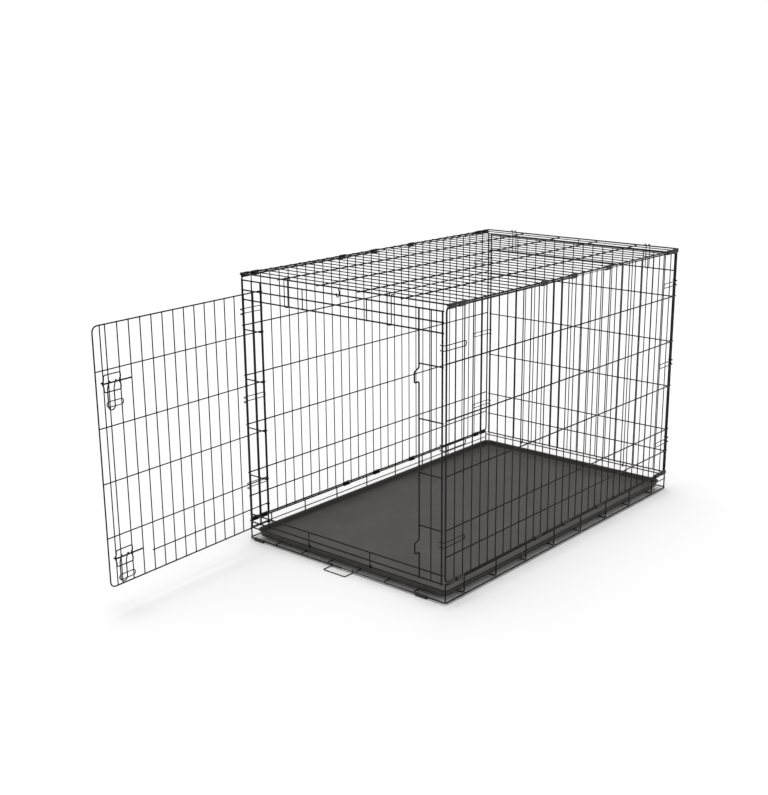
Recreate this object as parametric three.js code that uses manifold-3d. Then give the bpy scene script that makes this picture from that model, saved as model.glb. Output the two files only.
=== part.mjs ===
// Folding wire dog crate with one front door, a slide-out floor pan and two slide-bolt latches.
// Millimetres, +Z up, +X to the right of a person facing the door, the door end faces -Y.
// Heights are measured from the ground; the finished group is lowered so that the origin
// is the centre of the pan's floor.
import * as THREE from 'three';
import { mergeVertices } from 'three/addons/utils/BufferGeometryUtils.js';
import Module from 'manifold-3d';

const wasm = await Module();
wasm.setup();

// ---- driving dimensions ----
const WIDTH = 762;
const LENGTH = 1219;
const SIDE_TOP = 820.5;
const SIDE_BOTTOM = 66;
const RAIL_STACK = 5.7;
const ROOF_Z = SIDE_TOP + RAIL_STACK + 5 / 2;
const SIDE_RUNGS = [673.6, 521.2, 368.8, 216.4, 140.2];
const SIDE_GAPS = 32;
const ROOF_GAPS = 30;
const ROOF_STRINGERS = [-229, -76, 76, 229];

// ---- wire diameters ----
const RAIL_WIRE = 5;
const POST_WIRE = 4.5;
const RUNG_WIRE = 4;
const FILL_WIRE = 3.2;
const HOOK_WIRE = 2.8;
const BOLT_WIRE = 4.6;

// ---- how far crossing wires sink into each other, stand clear or run past ----
const WELD = 0.3;
const POST_WELD = 0.95;
const COLUMN_WELD = 0.65;
const OVERHANG = 2;
const RUNG_CLEAR = -0.35;
const PASS_GAP = 0.05;
const CLEARANCE = 0.35;
const END_GAP = 0.3;
const RUNG_SHORT = 1.2;

// ---- end panels ----
const END_PLANE = LENGTH / 2 + 4.5;
const END_HALF = 371;
const FRONT_TOPS = [810, 781, 753];
const FRONT_RUNGS = [663, 512.5, 362, 211.5];
const FRONT_SILLS = [84, 59];
const FRONT_FILL = 334;
const HINGE_JAMB = -297;
const LATCH_JAMB = 293;
const FRONT_STUBS = [-128, 112];
const KEEPER_BULGE = 19;
const KEEPER_SPAN = { below: 16, above: 13, back: 22 };
const REAR_LEVELS = [812, 756, 670, 518, 364, 212, 135, 60];
const REAR_GAPS = 19;
const REAR_RING_WIRES = [4, 15];

// ---- base and pan ----
const BASE_Z = 6;
const FLOOR_BARS = [-272, -163.3, -54.4, 54.4, 163.3, 272];
const UPRIGHTS = [-524, -374, -224, -75, 75, 224, 374, 524];
const BASE_MID = 39;
const FRONT_HINGE_WIRE = 40.5;
const REAR_HINGE_WIRE = 50;
const PAN_BOTTOM = 12;
const PAN_SHEET = 2.4;
const PAN_TOP = 33.5;
const PAN_HALF_WIDTH = 372;
const PAN_HALF_LENGTH = 603;
const PAN_CORNER = 26;
const PAN_FLOOR = PAN_BOTTOM + PAN_SHEET;

// ---- door, measured from the hinge jamb's axis ----
const DOOR_OPEN = -86.8;
const DOOR_WIDTH = 607.5;
const DOOR_TOP = 786;
const DOOR_BOTTOM = 78.5;
const DOOR_RUNGS = [668, 517.5, 367.5, 217];
const DOOR_HALF_RUNG = 137;
const DOOR_HALF_RUNG_END = 456;
const DOOR_FIRST_WIRE = 22.8;
const DOOR_PITCH = 38.65;
const DOOR_WIRES = 15;
const DOOR_EXTRA_WIRE = 581;
const DOOR_PLANE = 6.3;
const DOOR_RUNG_WIRE = 3.4;
const DOOR_CORNER = 12;
const RING_RADIUS = 4.6;
const EYE_REACH = 1.5;

// ---- latches ----
const LATCH_HEIGHTS = { upper: 630, lower: 150 };
const BOLT_START = 484;
const BOLT_END = 574;
const BOLT_TIP = 586;
const BOLT_TIP_RISE = 4;
const GUIDE = { left: 521, right: 577, reach: 23, bump: 6 };
const HANDLE = { left: 534, right: 556, drop: 77, proud: 12 };
const KEEPER = { left: 517, right: 572, height: 15, drop: 56 };

// ---- small parts ----
const CLIP_LENGTH = 31;
const CLIP_WALL = 1.4;
const CLIP_PLACES = [19, 58.5, 438, 590, 781, 1160.5, 1200];
const FOOT_SPANS = [[-365, -324], [276, 318]];
const SIDE_HOOKS = [716, 448, 176];
const HOOK_LEG_GAP = 14;
const HOOK_REACH = 80;
const FRONT_HAIRPIN = 192;
const REAR_HAIRPIN = 270;
const CENTRE_HOOK = 5;
const TOP_HOOK_BENDS = [[-3, 818], [-3, 808], [0, 804], [5, 804], [8, 808], [8, 815]];
const SIDE_HOOK_BENDS = [[6.5, 1.75], [12, -3], [12.3, -13], [7.5, -15.2]];
const HAIRPIN_BENDS = [[-4.2, -1.1], [0, 1], [0, 7.5], [-4.2, 9.7]];
const HAIRPIN_RISE = 8;
const STOP_RADIUS = 4;
const STOP_HALF = 42;
const STOP_HEIGHT = 34;

const BLACK_WIRE = { color: 0x141416, roughness: 0.42, metalness: 0.6 };
const BLACK_PLASTIC = { color: 0x2b2a28, roughness: 0.5, metalness: 0 };
const BLACK_RUBBER = { color: 0x0d0d0e, roughness: 0.8, metalness: 0 };

const crate = new THREE.Group();
const vec = (x, y, z) => new THREE.Vector3(x, y, z);

/** Regular polygon section whose first corner points along +Y of the section. */
function polygon(radius, sides) {
  const shape = new THREE.Shape();
  for (let i = 0; i < sides; i += 1) {
    const angle = Math.PI / 2 + (i * 2 * Math.PI) / sides;
    const x = radius * Math.cos(angle);
    const y = radius * Math.sin(angle);
    if (i === 0) shape.moveTo(x, y);
    else shape.lineTo(x, y);
  }
  shape.closePath();
  return shape;
}

/** Outline through a list of [x, y] points. */
function outline(points) {
  const shape = new THREE.Shape();
  shape.moveTo(points[0][0], points[0][1]);
  for (const [x, y] of points.slice(1)) shape.lineTo(x, y);
  shape.closePath();
  return shape;
}

/** A three.js geometry as a closed solid that can be joined or cut. */
function solid(geometry) {
  geometry.deleteAttribute('normal');
  geometry.deleteAttribute('uv');
  const merged = mergeVertices(geometry, 1e-4);
  const vertProperties = new Float32Array(merged.attributes.position.array);
  const triVerts = new Uint32Array(merged.index.array);
  return new wasm.Manifold(new wasm.Mesh({ numProp: 3, vertProperties, triVerts }));
}

/** One solid from several that touch. */
function join(solids) {
  return solids.reduce((whole, piece) => whole.add(piece));
}

/** Straight wire from a to b; one ridge of its section faces `normal`. */
function wire(a, b, diameter, normal, sides = 4) {
  const along = b.clone().sub(a);
  const length = along.length();
  along.normalize();
  const side = normal.clone().cross(along);
  if (side.length() < 1e-3) side.set(along.y, along.z, along.x).cross(along);
  side.normalize();
  const up = along.clone().cross(side);
  const shape = polygon(diameter / 2, sides);
  const geometry = new THREE.ExtrudeGeometry(shape, { depth: length, bevelEnabled: false });
  const basis = new THREE.Matrix4().makeBasis(side, up, along).setPosition(a);
  geometry.applyMatrix4(basis);
  return solid(geometry);
}

/** Path with straight legs between points, whose sections are square to the bends. */
class Bends extends THREE.Curve {
  constructor(points) {
    super();
    this.points = points;
  }

  getUtoTmapping(u) {
    return u;
  }

  getPoint(t) {
    const legs = this.points.length - 1;
    const leg = Math.min(Math.floor(t * legs + 1e-9), legs - 1);
    return this.points[leg].clone().lerp(this.points[leg + 1], t * legs - leg);
  }

  getTangent(t) {
    const last = this.points.length - 1;
    const i = Math.round(t * last);
    const before = this.points[Math.max(i - 1, 0)];
    const here = this.points[i];
    const after = this.points[Math.min(i + 1, last)];
    const into = here.clone().sub(before).normalize();
    return after.clone().sub(here).normalize().add(into).normalize();
  }
}

/** Bent wire through a list of points. */
function bentWire(points, diameter, sides = 4) {
  const options = { steps: points.length - 1, extrudePath: new Bends(points), bevelEnabled: false };
  return solid(new THREE.ExtrudeGeometry(polygon(diameter / 2, sides), options));
}

/** Closed loop of wire: two halves that meet inside the first leg and its opposite leg. */
function loop(points, diameter) {
  const half = points.length / 2;
  const middle = (i) => points[i].clone().lerp(points[(i + 1) % points.length], 0.5);
  const first = [middle(0), ...points.slice(1, half + 1), middle(half)];
  const second = [middle(half), ...points.slice(half + 1), points[0], middle(0)];
  return join([first, second].map((path) => {
    const start = path[0].clone().sub(path[1]).setLength(0.4);
    path[0].add(start);
    return bentWire(path, diameter);
  }));
}

/** Add a solid to a group as a named mesh. */
function place(name, piece, finish, parent = crate) {
  const mesh = piece.getMesh();
  const geometry = new THREE.BufferGeometry();
  geometry.setAttribute('position', new THREE.BufferAttribute(mesh.vertProperties, 3));
  geometry.setIndex(new THREE.BufferAttribute(mesh.triVerts, 1));
  geometry.computeVertexNormals();
  const node = new THREE.Mesh(geometry, new THREE.MeshStandardMaterial(finish));
  node.name = name;
  parent.add(node);
}

/** A flat grille: level wires lie on the +w side of its weld plane, upright ones on the -w side. */
class Grille {
  constructor(at) {
    this.at = at;
    this.normal = at(0, 0, 1).sub(at(0, 0, 0));
    this.wires = [];
  }

  level(v, from, to, diameter, weld = WELD) {
    const w = diameter / 2 - weld;
    this.wires.push(wire(this.at(from, v, w), this.at(to, v, w), diameter, this.normal));
  }

  upright(u, from, to, diameter, weld = WELD) {
    const w = weld - diameter / 2;
    this.wires.push(wire(this.at(u, from, w), this.at(u, to, w), diameter, this.normal));
  }

  bent(points, diameter) {
    this.wires.push(bentWire(points.map(([u, v, w]) => this.at(u, v, w)), diameter));
  }

  /** Ring round a pivot wire that runs along u, in the plane of constant u. */
  ring(u, v, w, diameter) {
    this.wires.push(ring((a, b) => this.at(u, v + a, w + b), diameter));
  }

  build() {
    return join(this.wires);
  }
}

/** Four sides of a hexagonal ring; `at` maps the ring's own plane, the open side faces +a. */
function ring(at, diameter, radius = RING_RADIUS) {
  const corner = radius / Math.cos(Math.PI / 6);
  const points = [];
  for (let i = 1; i <= 5; i += 1) {
    const angle = (i * Math.PI) / 3;
    points.push(at(corner * Math.cos(angle), corner * Math.sin(angle)));
  }
  return bentWire(points, diameter);
}

/** Side panel with its corner hooks; `hand` is +1 for the right side and -1 for the left. */
function sidePanel(hand) {
  const half = LENGTH / 2;
  const panel = new Grille((u, v, w) => vec(hand * (WIDTH / 2 + w), u, v));
  for (const z of [SIDE_TOP, SIDE_BOTTOM]) {
    panel.level(z, -half - RAIL_WIRE / 2, half + RAIL_WIRE / 2, RAIL_WIRE);
  }
  for (const z of SIDE_RUNGS) {
    panel.level(z, -half - OVERHANG, half + OVERHANG, RUNG_WIRE, RUNG_CLEAR);
  }
  for (let i = 0; i <= SIDE_GAPS; i += 1) {
    const isPost = i === 0 || i === SIDE_GAPS;
    const diameter = isPost ? RAIL_WIRE : FILL_WIRE;
    const weld = isPost ? POST_WELD : WELD;
    const y = -half + (i * LENGTH) / SIDE_GAPS;
    panel.upright(y, SIDE_BOTTOM - OVERHANG, SIDE_TOP + OVERHANG, diameter, weld);
  }
  for (const end of [-1, 1]) {
    for (const z of SIDE_HOOKS) panel.bent(cornerHook(end, z), HOOK_WIRE);
  }
  return panel.build();
}

/** Hairpin along the side panel whose two ends curl round the end panel's post. */
function cornerHook(end, z) {
  const out = LENGTH / 2;
  const lay = HOOK_WIRE / 2 - RUNG_CLEAR;
  const curl = SIDE_HOOK_BENDS.map(([reach, w]) => [out + reach, w]);
  const half = HOOK_LEG_GAP / 2;
  const lower = curl.map(([u, w]) => [end * u, z - half, w]).reverse();
  const upper = curl.map(([u, w]) => [end * u, z + half, w]);
  const bend = end * (out - HOOK_REACH);
  return [...lower, [bend, z - half, lay], [bend, z + half, lay], ...upper];
}

/** Top panel: two rails, four stringers, fine cross wires over them and a hook at each end. */
function topPanel() {
  const railZ = ROOF_Z - RAIL_WIRE / 2;
  const crossZ = ROOF_Z;
  const railX = WIDTH / 2 + RAIL_WIRE / 2 - WELD;
  const half = LENGTH / 2;
  const railY = half + RAIL_WIRE / 2;
  const up = vec(0, 0, 1);
  const wires = [];
  for (const x of [-railX, railX]) {
    wires.push(wire(vec(x, -railY, railZ), vec(x, railY, railZ), RAIL_WIRE, up));
  }
  const stringerZ = crossZ - FILL_WIRE / 2 - RUNG_WIRE / 2 - PASS_GAP;
  for (const x of ROOF_STRINGERS) {
    wires.push(wire(vec(x, -half, stringerZ), vec(x, half, stringerZ), RUNG_WIRE, up));
  }
  const reach = railX - 2 * WELD;
  for (let i = 0; i <= ROOF_GAPS; i += 1) {
    const y = -half + (i * LENGTH) / ROOF_GAPS;
    const diameter = i % ROOF_GAPS === 0 ? POST_WIRE : FILL_WIRE;
    wires.push(wire(vec(-reach, y, crossZ), vec(reach, y, crossZ), diameter, up));
  }
  for (const end of [-1, 1]) wires.push(topHook(end));
  return join(wires);
}

/** Hook under the middle of the top panel's end wire that holds an end panel's top wire. */
function topHook(end) {
  const half = LENGTH / 2;
  const start = [half, ROOF_Z - WELD];
  const bends = TOP_HOOK_BENDS.map(([out, z]) => [half + out, z]);
  const points = [start, ...bends].map(([y, z]) => vec(CENTRE_HOOK, end * y, z));
  return bentWire(points, HOOK_WIRE);
}

/** Hairpin on an end panel: two legs that curl over the top panel's end wire. */
function hairpin(panel, x, foot) {
  const lay = WELD - HOOK_WIRE / 2;
  const over = SIDE_TOP + RAIL_STACK + HAIRPIN_RISE;
  const curl = HAIRPIN_BENDS.map(([rise, w]) => [over + rise, w]);
  const left = curl.map(([v, w]) => [x - HOOK_LEG_GAP / 2, v, w]).reverse();
  const right = curl.map(([v, w]) => [x + HOOK_LEG_GAP / 2, v, w]);
  const bottom = [left, right].map((leg) => [leg[0][0], foot, lay]);
  panel.bent([...left, ...bottom, ...right], HOOK_WIRE);
}

/** Front panel round the doorway, as flat parts that meet end to end. */
function frontPanel() {
  const flat = () => new Grille((u, v, w) => vec(u, w - END_PLANE, v));
  const parts = { header: flat(), sill: flat(), hinge_column: flat(), latch_column: flat() };
  const [top, , lintel] = FRONT_TOPS;
  const [sill, bottom] = FRONT_SILLS;
  const head = lintel - POST_WIRE / 2;
  const foot = sill + POST_WIRE / 2;
  const wide = END_HALF + OVERHANG;
  for (const z of FRONT_TOPS) parts.header.level(z, -wide, wide, POST_WIRE);
  for (const z of FRONT_SILLS) parts.sill.level(z, -wide, wide, POST_WIRE);
  for (const z of FRONT_RUNGS) {
    const inner = LATCH_JAMB + RUNG_SHORT;
    parts.hinge_column.level(z, -wide, HINGE_JAMB + OVERHANG, RUNG_WIRE, RUNG_CLEAR);
    parts.latch_column.level(z, inner, wide, RUNG_WIRE, RUNG_CLEAR);
  }
  const uprights = [
    [-END_HALF, RAIL_WIRE, POST_WELD, parts.hinge_column],
    [-FRONT_FILL, FILL_WIRE, WELD, parts.hinge_column],
    [HINGE_JAMB, POST_WIRE, POST_WELD, parts.hinge_column],
    [LATCH_JAMB, POST_WIRE, POST_WELD, null],
    [FRONT_FILL, FILL_WIRE, WELD, parts.latch_column],
    [END_HALF, RAIL_WIRE, POST_WELD, parts.latch_column],
  ];
  for (const [x, diameter, weld, column] of uprights) {
    parts.header.upright(x, head, top + OVERHANG, diameter, weld);
    parts.sill.upright(x, bottom - OVERHANG, foot, diameter, weld);
    const joined = Math.max(weld, COLUMN_WELD);
    if (column) column.upright(x, foot + END_GAP, head - END_GAP, diameter, joined);
  }
  const hinge = POST_WIRE / 2 - WELD;
  for (const x of FRONT_STUBS) {
    parts.header.upright(x, head, top + OVERHANG, FILL_WIRE);
    parts.sill.upright(x, FRONT_HINGE_WIRE + EYE_REACH, foot, FILL_WIRE);
    parts.sill.ring(x, FRONT_HINGE_WIRE, hinge, HOOK_WIRE);
  }
  for (const x of [-FRONT_HAIRPIN, FRONT_HAIRPIN]) hairpin(parts.header, x, lintel - OVERHANG);
  return { ...parts, latch_jamb: latchJamb(foot + END_GAP, head - END_GAP) };
}

/** The doorway's latch jamb, with two bulges that the bolts pass behind. */
function latchJamb(from, to) {
  const jamb = new Grille((u, v, w) => vec(u, w - END_PLANE, v));
  const plane = POST_WELD - POST_WIRE / 2;
  const path = [[LATCH_JAMB, from, plane]];
  for (const z of [LATCH_HEIGHTS.lower, LATCH_HEIGHTS.upper]) {
    path.push([LATCH_JAMB, z - KEEPER_SPAN.below, plane]);
    path.push([LATCH_JAMB, z - KEEPER_SPAN.below, plane - KEEPER_BULGE]);
    path.push([LATCH_JAMB, z + KEEPER_SPAN.above, plane - KEEPER_BULGE]);
    path.push([LATCH_JAMB, z + KEEPER_SPAN.back, plane]);
  }
  path.push([LATCH_JAMB, to, plane]);
  jamb.bent(path, POST_WIRE);
  return jamb;
}

/** Rear panel, hung on the base's rear wire by two rings. */
function rearPanel() {
  const panel = new Grille((u, v, w) => vec(u, END_PLANE - w, v));
  const top = REAR_LEVELS[0];
  const bottom = REAR_LEVELS[REAR_LEVELS.length - 1];
  const wide = END_HALF + OVERHANG;
  for (const z of REAR_LEVELS) {
    const isRail = z === top || z === bottom;
    const weld = isRail ? WELD : RUNG_CLEAR;
    panel.level(z, -wide, wide, isRail ? POST_WIRE : RUNG_WIRE, weld);
  }
  for (let i = 0; i <= REAR_GAPS; i += 1) {
    const isPost = i % REAR_GAPS === 0;
    const isRing = REAR_RING_WIRES.includes(i);
    const x = -END_HALF + (i * 2 * END_HALF) / REAR_GAPS;
    const foot = isRing ? REAR_HINGE_WIRE + EYE_REACH : bottom - OVERHANG;
    const [diameter, weld] = isPost ? [RAIL_WIRE, POST_WELD] : [FILL_WIRE, WELD];
    panel.upright(x, foot, top + OVERHANG, diameter, weld);
    if (isRing) panel.ring(x, REAR_HINGE_WIRE, POST_WIRE / 2 - WELD, HOOK_WIRE);
  }
  for (const x of [-REAR_HAIRPIN, REAR_HAIRPIN]) hairpin(panel, x, REAR_LEVELS[1] - OVERHANG);
  return panel.build();
}

/** Where the base's end wires lie, along the length. */
const BASE_END = END_PLANE - POST_WIRE / 2 + WELD;

/** Base floor: ground ring and the grid that carries the pan. */
function baseFloor() {
  const up = vec(0, 0, 1);
  const railX = WIDTH / 2 + POST_WIRE / 2 - WELD;
  const wires = [];
  for (const end of [-1, 1]) {
    const y = end * BASE_END;
    const x = end * railX;
    wires.push(wire(vec(-railX, y, BASE_Z), vec(railX, y, BASE_Z), POST_WIRE, up));
    wires.push(wire(vec(x, -BASE_END, BASE_Z), vec(x, BASE_END, BASE_Z), POST_WIRE, up));
  }
  const barZ = BASE_Z + POST_WIRE / 2 + FILL_WIRE / 2 - WELD;
  for (const x of FLOOR_BARS) {
    const y = BASE_END + OVERHANG / 2;
    wires.push(wire(vec(x, -y, barZ), vec(x, y, barZ), FILL_WIRE, up));
  }
  const crossZ = barZ - FILL_WIRE / 2 - RUNG_WIRE / 2 - PASS_GAP;
  for (const y of UPRIGHTS) {
    wires.push(wire(vec(-railX, y, crossZ), vec(railX, y, crossZ), RUNG_WIRE, up));
  }
  return join(wires);
}

/** Low upstand along one side of the base, which the side panel is clipped to. */
function baseUpstand(hand) {
  const half = LENGTH / 2;
  const topZ = SIDE_BOTTOM - RAIL_STACK;
  const foot = BASE_Z + POST_WIRE / 2 + CLEARANCE;
  const side = new Grille((u, v, w) => vec(hand * (WIDTH / 2 + w), u, v));
  const head = topZ + OVERHANG;
  side.level(topZ, -half - OVERHANG, half + OVERHANG, POST_WIRE);
  side.level(BASE_MID, -half - OVERHANG, half + OVERHANG, FILL_WIRE, RUNG_CLEAR);
  for (const y of [-half, half]) side.upright(y, foot, head, POST_WIRE, POST_WELD);
  for (const y of UPRIGHTS) side.upright(y, foot, head, FILL_WIRE);
  return side.build();
}

/** Wire across one end of the base that an end panel's rings turn on. */
function baseEndWire(end) {
  const reach = WIDTH / 2 + POST_WELD - POST_WIRE - CLEARANCE;
  const z = end < 0 ? FRONT_HINGE_WIRE : REAR_HINGE_WIRE;
  const y = end * BASE_END;
  return wire(vec(-reach, y, z), vec(reach, y, z), RUNG_WIRE, vec(0, 0, 1));
}

/** Rounded rectangle outline. */
function roundedRectangle(halfX, halfY, radius) {
  const shape = new THREE.Shape();
  shape.moveTo(-halfX + radius, -halfY);
  shape.absarc(halfX - radius, -halfY + radius, radius, -Math.PI / 2, 0);
  shape.absarc(halfX - radius, halfY - radius, radius, 0, Math.PI / 2);
  shape.absarc(-halfX + radius, halfY - radius, radius, Math.PI / 2, Math.PI);
  shape.absarc(-halfX + radius, -halfY + radius, radius, Math.PI, Math.PI * 1.5);
  return shape;
}

/** A block of rounded plan between two heights. */
function block(halfX, halfY, radius, from, to) {
  const options = { depth: to - from, bevelEnabled: false, curveSegments: 4 };
  const geometry = new THREE.ExtrudeGeometry(roundedRectangle(halfX, halfY, radius), options);
  geometry.translate(0, 0, from);
  return solid(geometry);
}

/** Flat floor of the pan. */
function panFloor() {
  const inset = PAN_SHEET + END_GAP;
  const x = PAN_HALF_WIDTH - inset;
  const y = PAN_HALF_LENGTH - inset;
  return block(x, y, PAN_CORNER - inset, PAN_BOTTOM, PAN_FLOOR);
}

/** Rim round the pan's floor, as four strips that meet in mitres at the corners. */
function panRims() {
  const x = PAN_HALF_WIDTH - PAN_SHEET;
  const y = PAN_HALF_LENGTH - PAN_SHEET;
  const hollow = block(x, y, PAN_CORNER - PAN_SHEET, PAN_BOTTOM - PAN_SHEET, PAN_TOP + PAN_SHEET);
  const ring = block(PAN_HALF_WIDTH, PAN_HALF_LENGTH, PAN_CORNER, PAN_BOTTOM, PAN_TOP).subtract(hollow);
  const endStrip = mitredPrism(PAN_HALF_WIDTH, PAN_HALF_LENGTH, false);
  const sideStrip = mitredPrism(PAN_HALF_LENGTH, PAN_HALF_WIDTH, true);
  return {
    front: ring.intersect(endStrip(-1)),
    rear: ring.intersect(endStrip(1)),
    left: ring.intersect(sideStrip(-1)),
    right: ring.intersect(sideStrip(1)),
  };
}

/** Prism over one edge of the pan: `half` is half the edge's length, `out` its place. */
function mitredPrism(half, out, isSide) {
  const reach = half - END_GAP;
  const corners = [[-reach - 1, out + 1], [reach + 1, out + 1],
    [reach - 2 * PAN_CORNER, out - 2 * PAN_CORNER], [-reach + 2 * PAN_CORNER, out - 2 * PAN_CORNER]];
  return (end) => {
    const points = corners.map(([along, across]) => (isSide ? [end * across, along] : [along, end * across]));
    const options = { depth: PAN_TOP, bevelEnabled: false };
    return solid(new THREE.ExtrudeGeometry(outline(points), options).translate(0, 0, PAN_BOTTOM / 2));
  };
}

/** Door grille, built flat: x runs from the hinge to the free edge, -y is the outer face. */
function door() {
  const leaf = new Grille((u, v, w) => vec(u, w - DOOR_PLANE, v));
  const railW = RUNG_WIRE / 2 - WELD;
  const foot = DOOR_BOTTOM - OVERHANG / 2;
  const head = DOOR_TOP + OVERHANG / 2;
  leaf.bent([
    [0, DOOR_TOP, railW],
    [DOOR_WIDTH - DOOR_CORNER, DOOR_TOP, railW],
    [DOOR_WIDTH, DOOR_TOP - DOOR_CORNER, railW],
    [DOOR_WIDTH, DOOR_BOTTOM + DOOR_CORNER, railW],
    [DOOR_WIDTH - DOOR_CORNER, DOOR_BOTTOM, railW],
    [0, DOOR_BOTTOM, railW],
  ], RUNG_WIRE);
  for (const z of DOOR_RUNGS) {
    leaf.level(z, 0, DOOR_WIDTH, DOOR_RUNG_WIRE, RUNG_CLEAR);
  }
  leaf.level(DOOR_HALF_RUNG, 0, DOOR_HALF_RUNG_END, DOOR_RUNG_WIRE, RUNG_CLEAR);
  for (let i = 0; i < DOOR_WIRES; i += 1) {
    const weld = i === 0 ? POST_WELD : WELD;
    leaf.upright(DOOR_FIRST_WIRE + i * DOOR_PITCH, foot, head, FILL_WIRE, weld);
  }
  leaf.upright(DOOR_EXTRA_WIRE, foot, head, FILL_WIRE, POST_WELD);
  for (const z of [DOOR_TOP, ...DOOR_RUNGS, DOOR_HALF_RUNG, DOOR_BOTTOM]) {
    leaf.wires.push(ring((a, b) => vec(a, b, z), DOOR_RUNG_WIRE));
  }
  for (const z of Object.values(LATCH_HEIGHTS)) leaf.wires.push(handleKeeper(z));
  return leaf.build();
}

/** How far the latch parts stand out from the hinge axis, across the door's face. */
const LATCH_FACE = DOOR_PLANE - WELD + FILL_WIRE + CLEARANCE;
const BOLT_OUT = LATCH_FACE + BOLT_WIRE / 2;

/** Slide bolt with its tip bent up. */
function bolt(z) {
  const path = [[BOLT_START, z], [BOLT_END, z], [BOLT_TIP, z + BOLT_TIP_RISE]];
  const points = path.map(([x, height]) => vec(x, -BOLT_OUT, height));
  return bentWire(points, BOLT_WIRE, 8);
}

/** Wire loop whose two ends step out over the bolt and guide it. */
function boltGuide(z) {
  const flat = LATCH_FACE + HOOK_WIRE / 2;
  const proud = BOLT_OUT + BOLT_WIRE / 2 + CLEARANCE + HOOK_WIRE / 2;
  const end = [[GUIDE.reach, flat], [GUIDE.bump + 3, flat], [GUIDE.bump - 1, proud],
    [1 - GUIDE.bump, proud], [-GUIDE.bump - 3, flat], [-GUIDE.reach, flat]];
  const right = end.map(([dz, out]) => vec(GUIDE.right, -out, z + dz));
  const left = end.map(([dz, out]) => vec(GUIDE.left, -out, z + dz)).reverse();
  return loop([...right, ...left], HOOK_WIRE);
}

/** U-shaped handle that hangs from the bolt, standing proud of the door. */
function boltHandle(z) {
  const root = BOLT_OUT + BOLT_WIRE / 2 + CLEARANCE + HOOK_WIRE / 2;
  const proud = BOLT_OUT + HANDLE.proud;
  const leg = [[1.5, root], [-20, proud], [8 - HANDLE.drop, proud]];
  const right = leg.map(([dz, out]) => vec(HANDLE.right, -out, z + dz));
  const left = leg.map(([dz, out]) => vec(HANDLE.left, -out, z + dz)).reverse();
  const bottom = [
    vec(HANDLE.right - 6, -proud, z - HANDLE.drop),
    vec(HANDLE.left + 6, -proud, z - HANDLE.drop),
  ];
  const cross = wire(vec(HANDLE.left, -root, z), vec(HANDLE.right, -root, z), HOOK_WIRE, vec(0, 1, 0));
  return bentWire([...right, ...bottom, ...left], HOOK_WIRE).add(cross);
}

/** Oval loop, welded on the door, that the handle drops over. */
function handleKeeper(z) {
  const out = CLEARANCE + WELD - LATCH_FACE - HOOK_WIRE / 2;
  const level = z - KEEPER.drop;
  const half = KEEPER.height / 2;
  const points = [
    [KEEPER.left, -half / 2], [KEEPER.left, half / 2], [KEEPER.left + 5, half],
    [KEEPER.right - 5, half], [KEEPER.right, half / 2], [KEEPER.right, -half / 2],
    [KEEPER.right - 5, -half], [KEEPER.left + 5, -half],
  ].map(([x, dz]) => vec(x, out, level + dz));
  return loop(points, HOOK_WIRE);
}

/** Hinge clip: a C-section that holds a side panel's rail to the rail above or below it. */
function edgeClip(hand, y, z) {
  const rail = RAIL_WIRE / 2 + CLEARANCE;
  const high = RAIL_STACK / 2 + rail;
  const lip = WIDTH / 2 + 2;
  const inner = WIDTH / 2 + RAIL_WIRE / 2 - WELD + rail;
  const section = outline([
    [lip, high], [inner, high], [inner, -high], [lip, -high], [lip, -high - CLIP_WALL],
    [inner + CLIP_WALL, -high - CLIP_WALL], [inner + CLIP_WALL, high + CLIP_WALL],
    [lip, high + CLIP_WALL],
  ]);
  const options = { depth: CLIP_LENGTH, bevelEnabled: false };
  const geometry = new THREE.ExtrudeGeometry(section, options);
  geometry.rotateX(Math.PI / 2);
  if (hand < 0) geometry.rotateZ(Math.PI);
  geometry.translate(0, y + (hand * CLIP_LENGTH) / 2, z);
  return solid(geometry);
}

/** Rubber sleeve on the ground ring, flat underneath. */
function foot(from, to, end) {
  const section = outline([
    [-5.3, 2], [-3.3, 0], [3.3, 0], [5.3, 2], [5.3, 8.4], [3.3, 10.4], [-3.3, 10.4], [-5.3, 8.4],
  ]);
  const bore = polygon(POST_WIRE / 2 + CLEARANCE, 4).getPoints();
  section.holes.push(new THREE.Path(bore.map((p) => new THREE.Vector2(p.x, p.y + BASE_Z))));
  const geometry = new THREE.ExtrudeGeometry(section, { depth: to - from, bevelEnabled: false });
  geometry.rotateX(Math.PI / 2);
  geometry.rotateZ(Math.PI / 2);
  geometry.translate(from, end * BASE_END, 0);
  return solid(geometry);
}

/** Pan stop: a bail on the ground ring, built upright about its pivot. */
function panStop() {
  const curls = [-STOP_HALF, STOP_HALF].map((x) => {
    return ring((a, b) => vec(x, b, a), HOOK_WIRE, STOP_RADIUS);
  });
  const path = [[-STOP_HALF, 1], [-STOP_HALF, STOP_HEIGHT], [STOP_HALF, STOP_HEIGHT], [STOP_HALF, 1]];
  const bail = bentWire(path.map(([x, z]) => vec(x, -STOP_RADIUS, z)), HOOK_WIRE);
  return join([...curls, bail]);
}

// ---- assembly ----
place('base_floor', baseFloor(), BLACK_WIRE);
for (const [side, hand] of [['left', -1], ['right', 1]]) {
  place(`base_${side}_upstand`, baseUpstand(hand), BLACK_WIRE);
}
for (const [name, end] of [['front', -1], ['rear', 1]]) {
  place(`base_${name}_wire`, baseEndWire(end), BLACK_WIRE);
}
place('left_side_panel', sidePanel(-1), BLACK_WIRE);
place('right_side_panel', sidePanel(1), BLACK_WIRE);
place('top_panel', topPanel(), BLACK_WIRE);
for (const [name, part] of Object.entries(frontPanel())) {
  place(`front_${name}`, part.build(), BLACK_WIRE);
}
place('rear_panel', rearPanel(), BLACK_WIRE);
place('pan', panFloor(), BLACK_PLASTIC);
for (const [edge, strip] of Object.entries(panRims())) {
  place(`pan_${edge}_rim`, strip, BLACK_PLASTIC);
}

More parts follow.
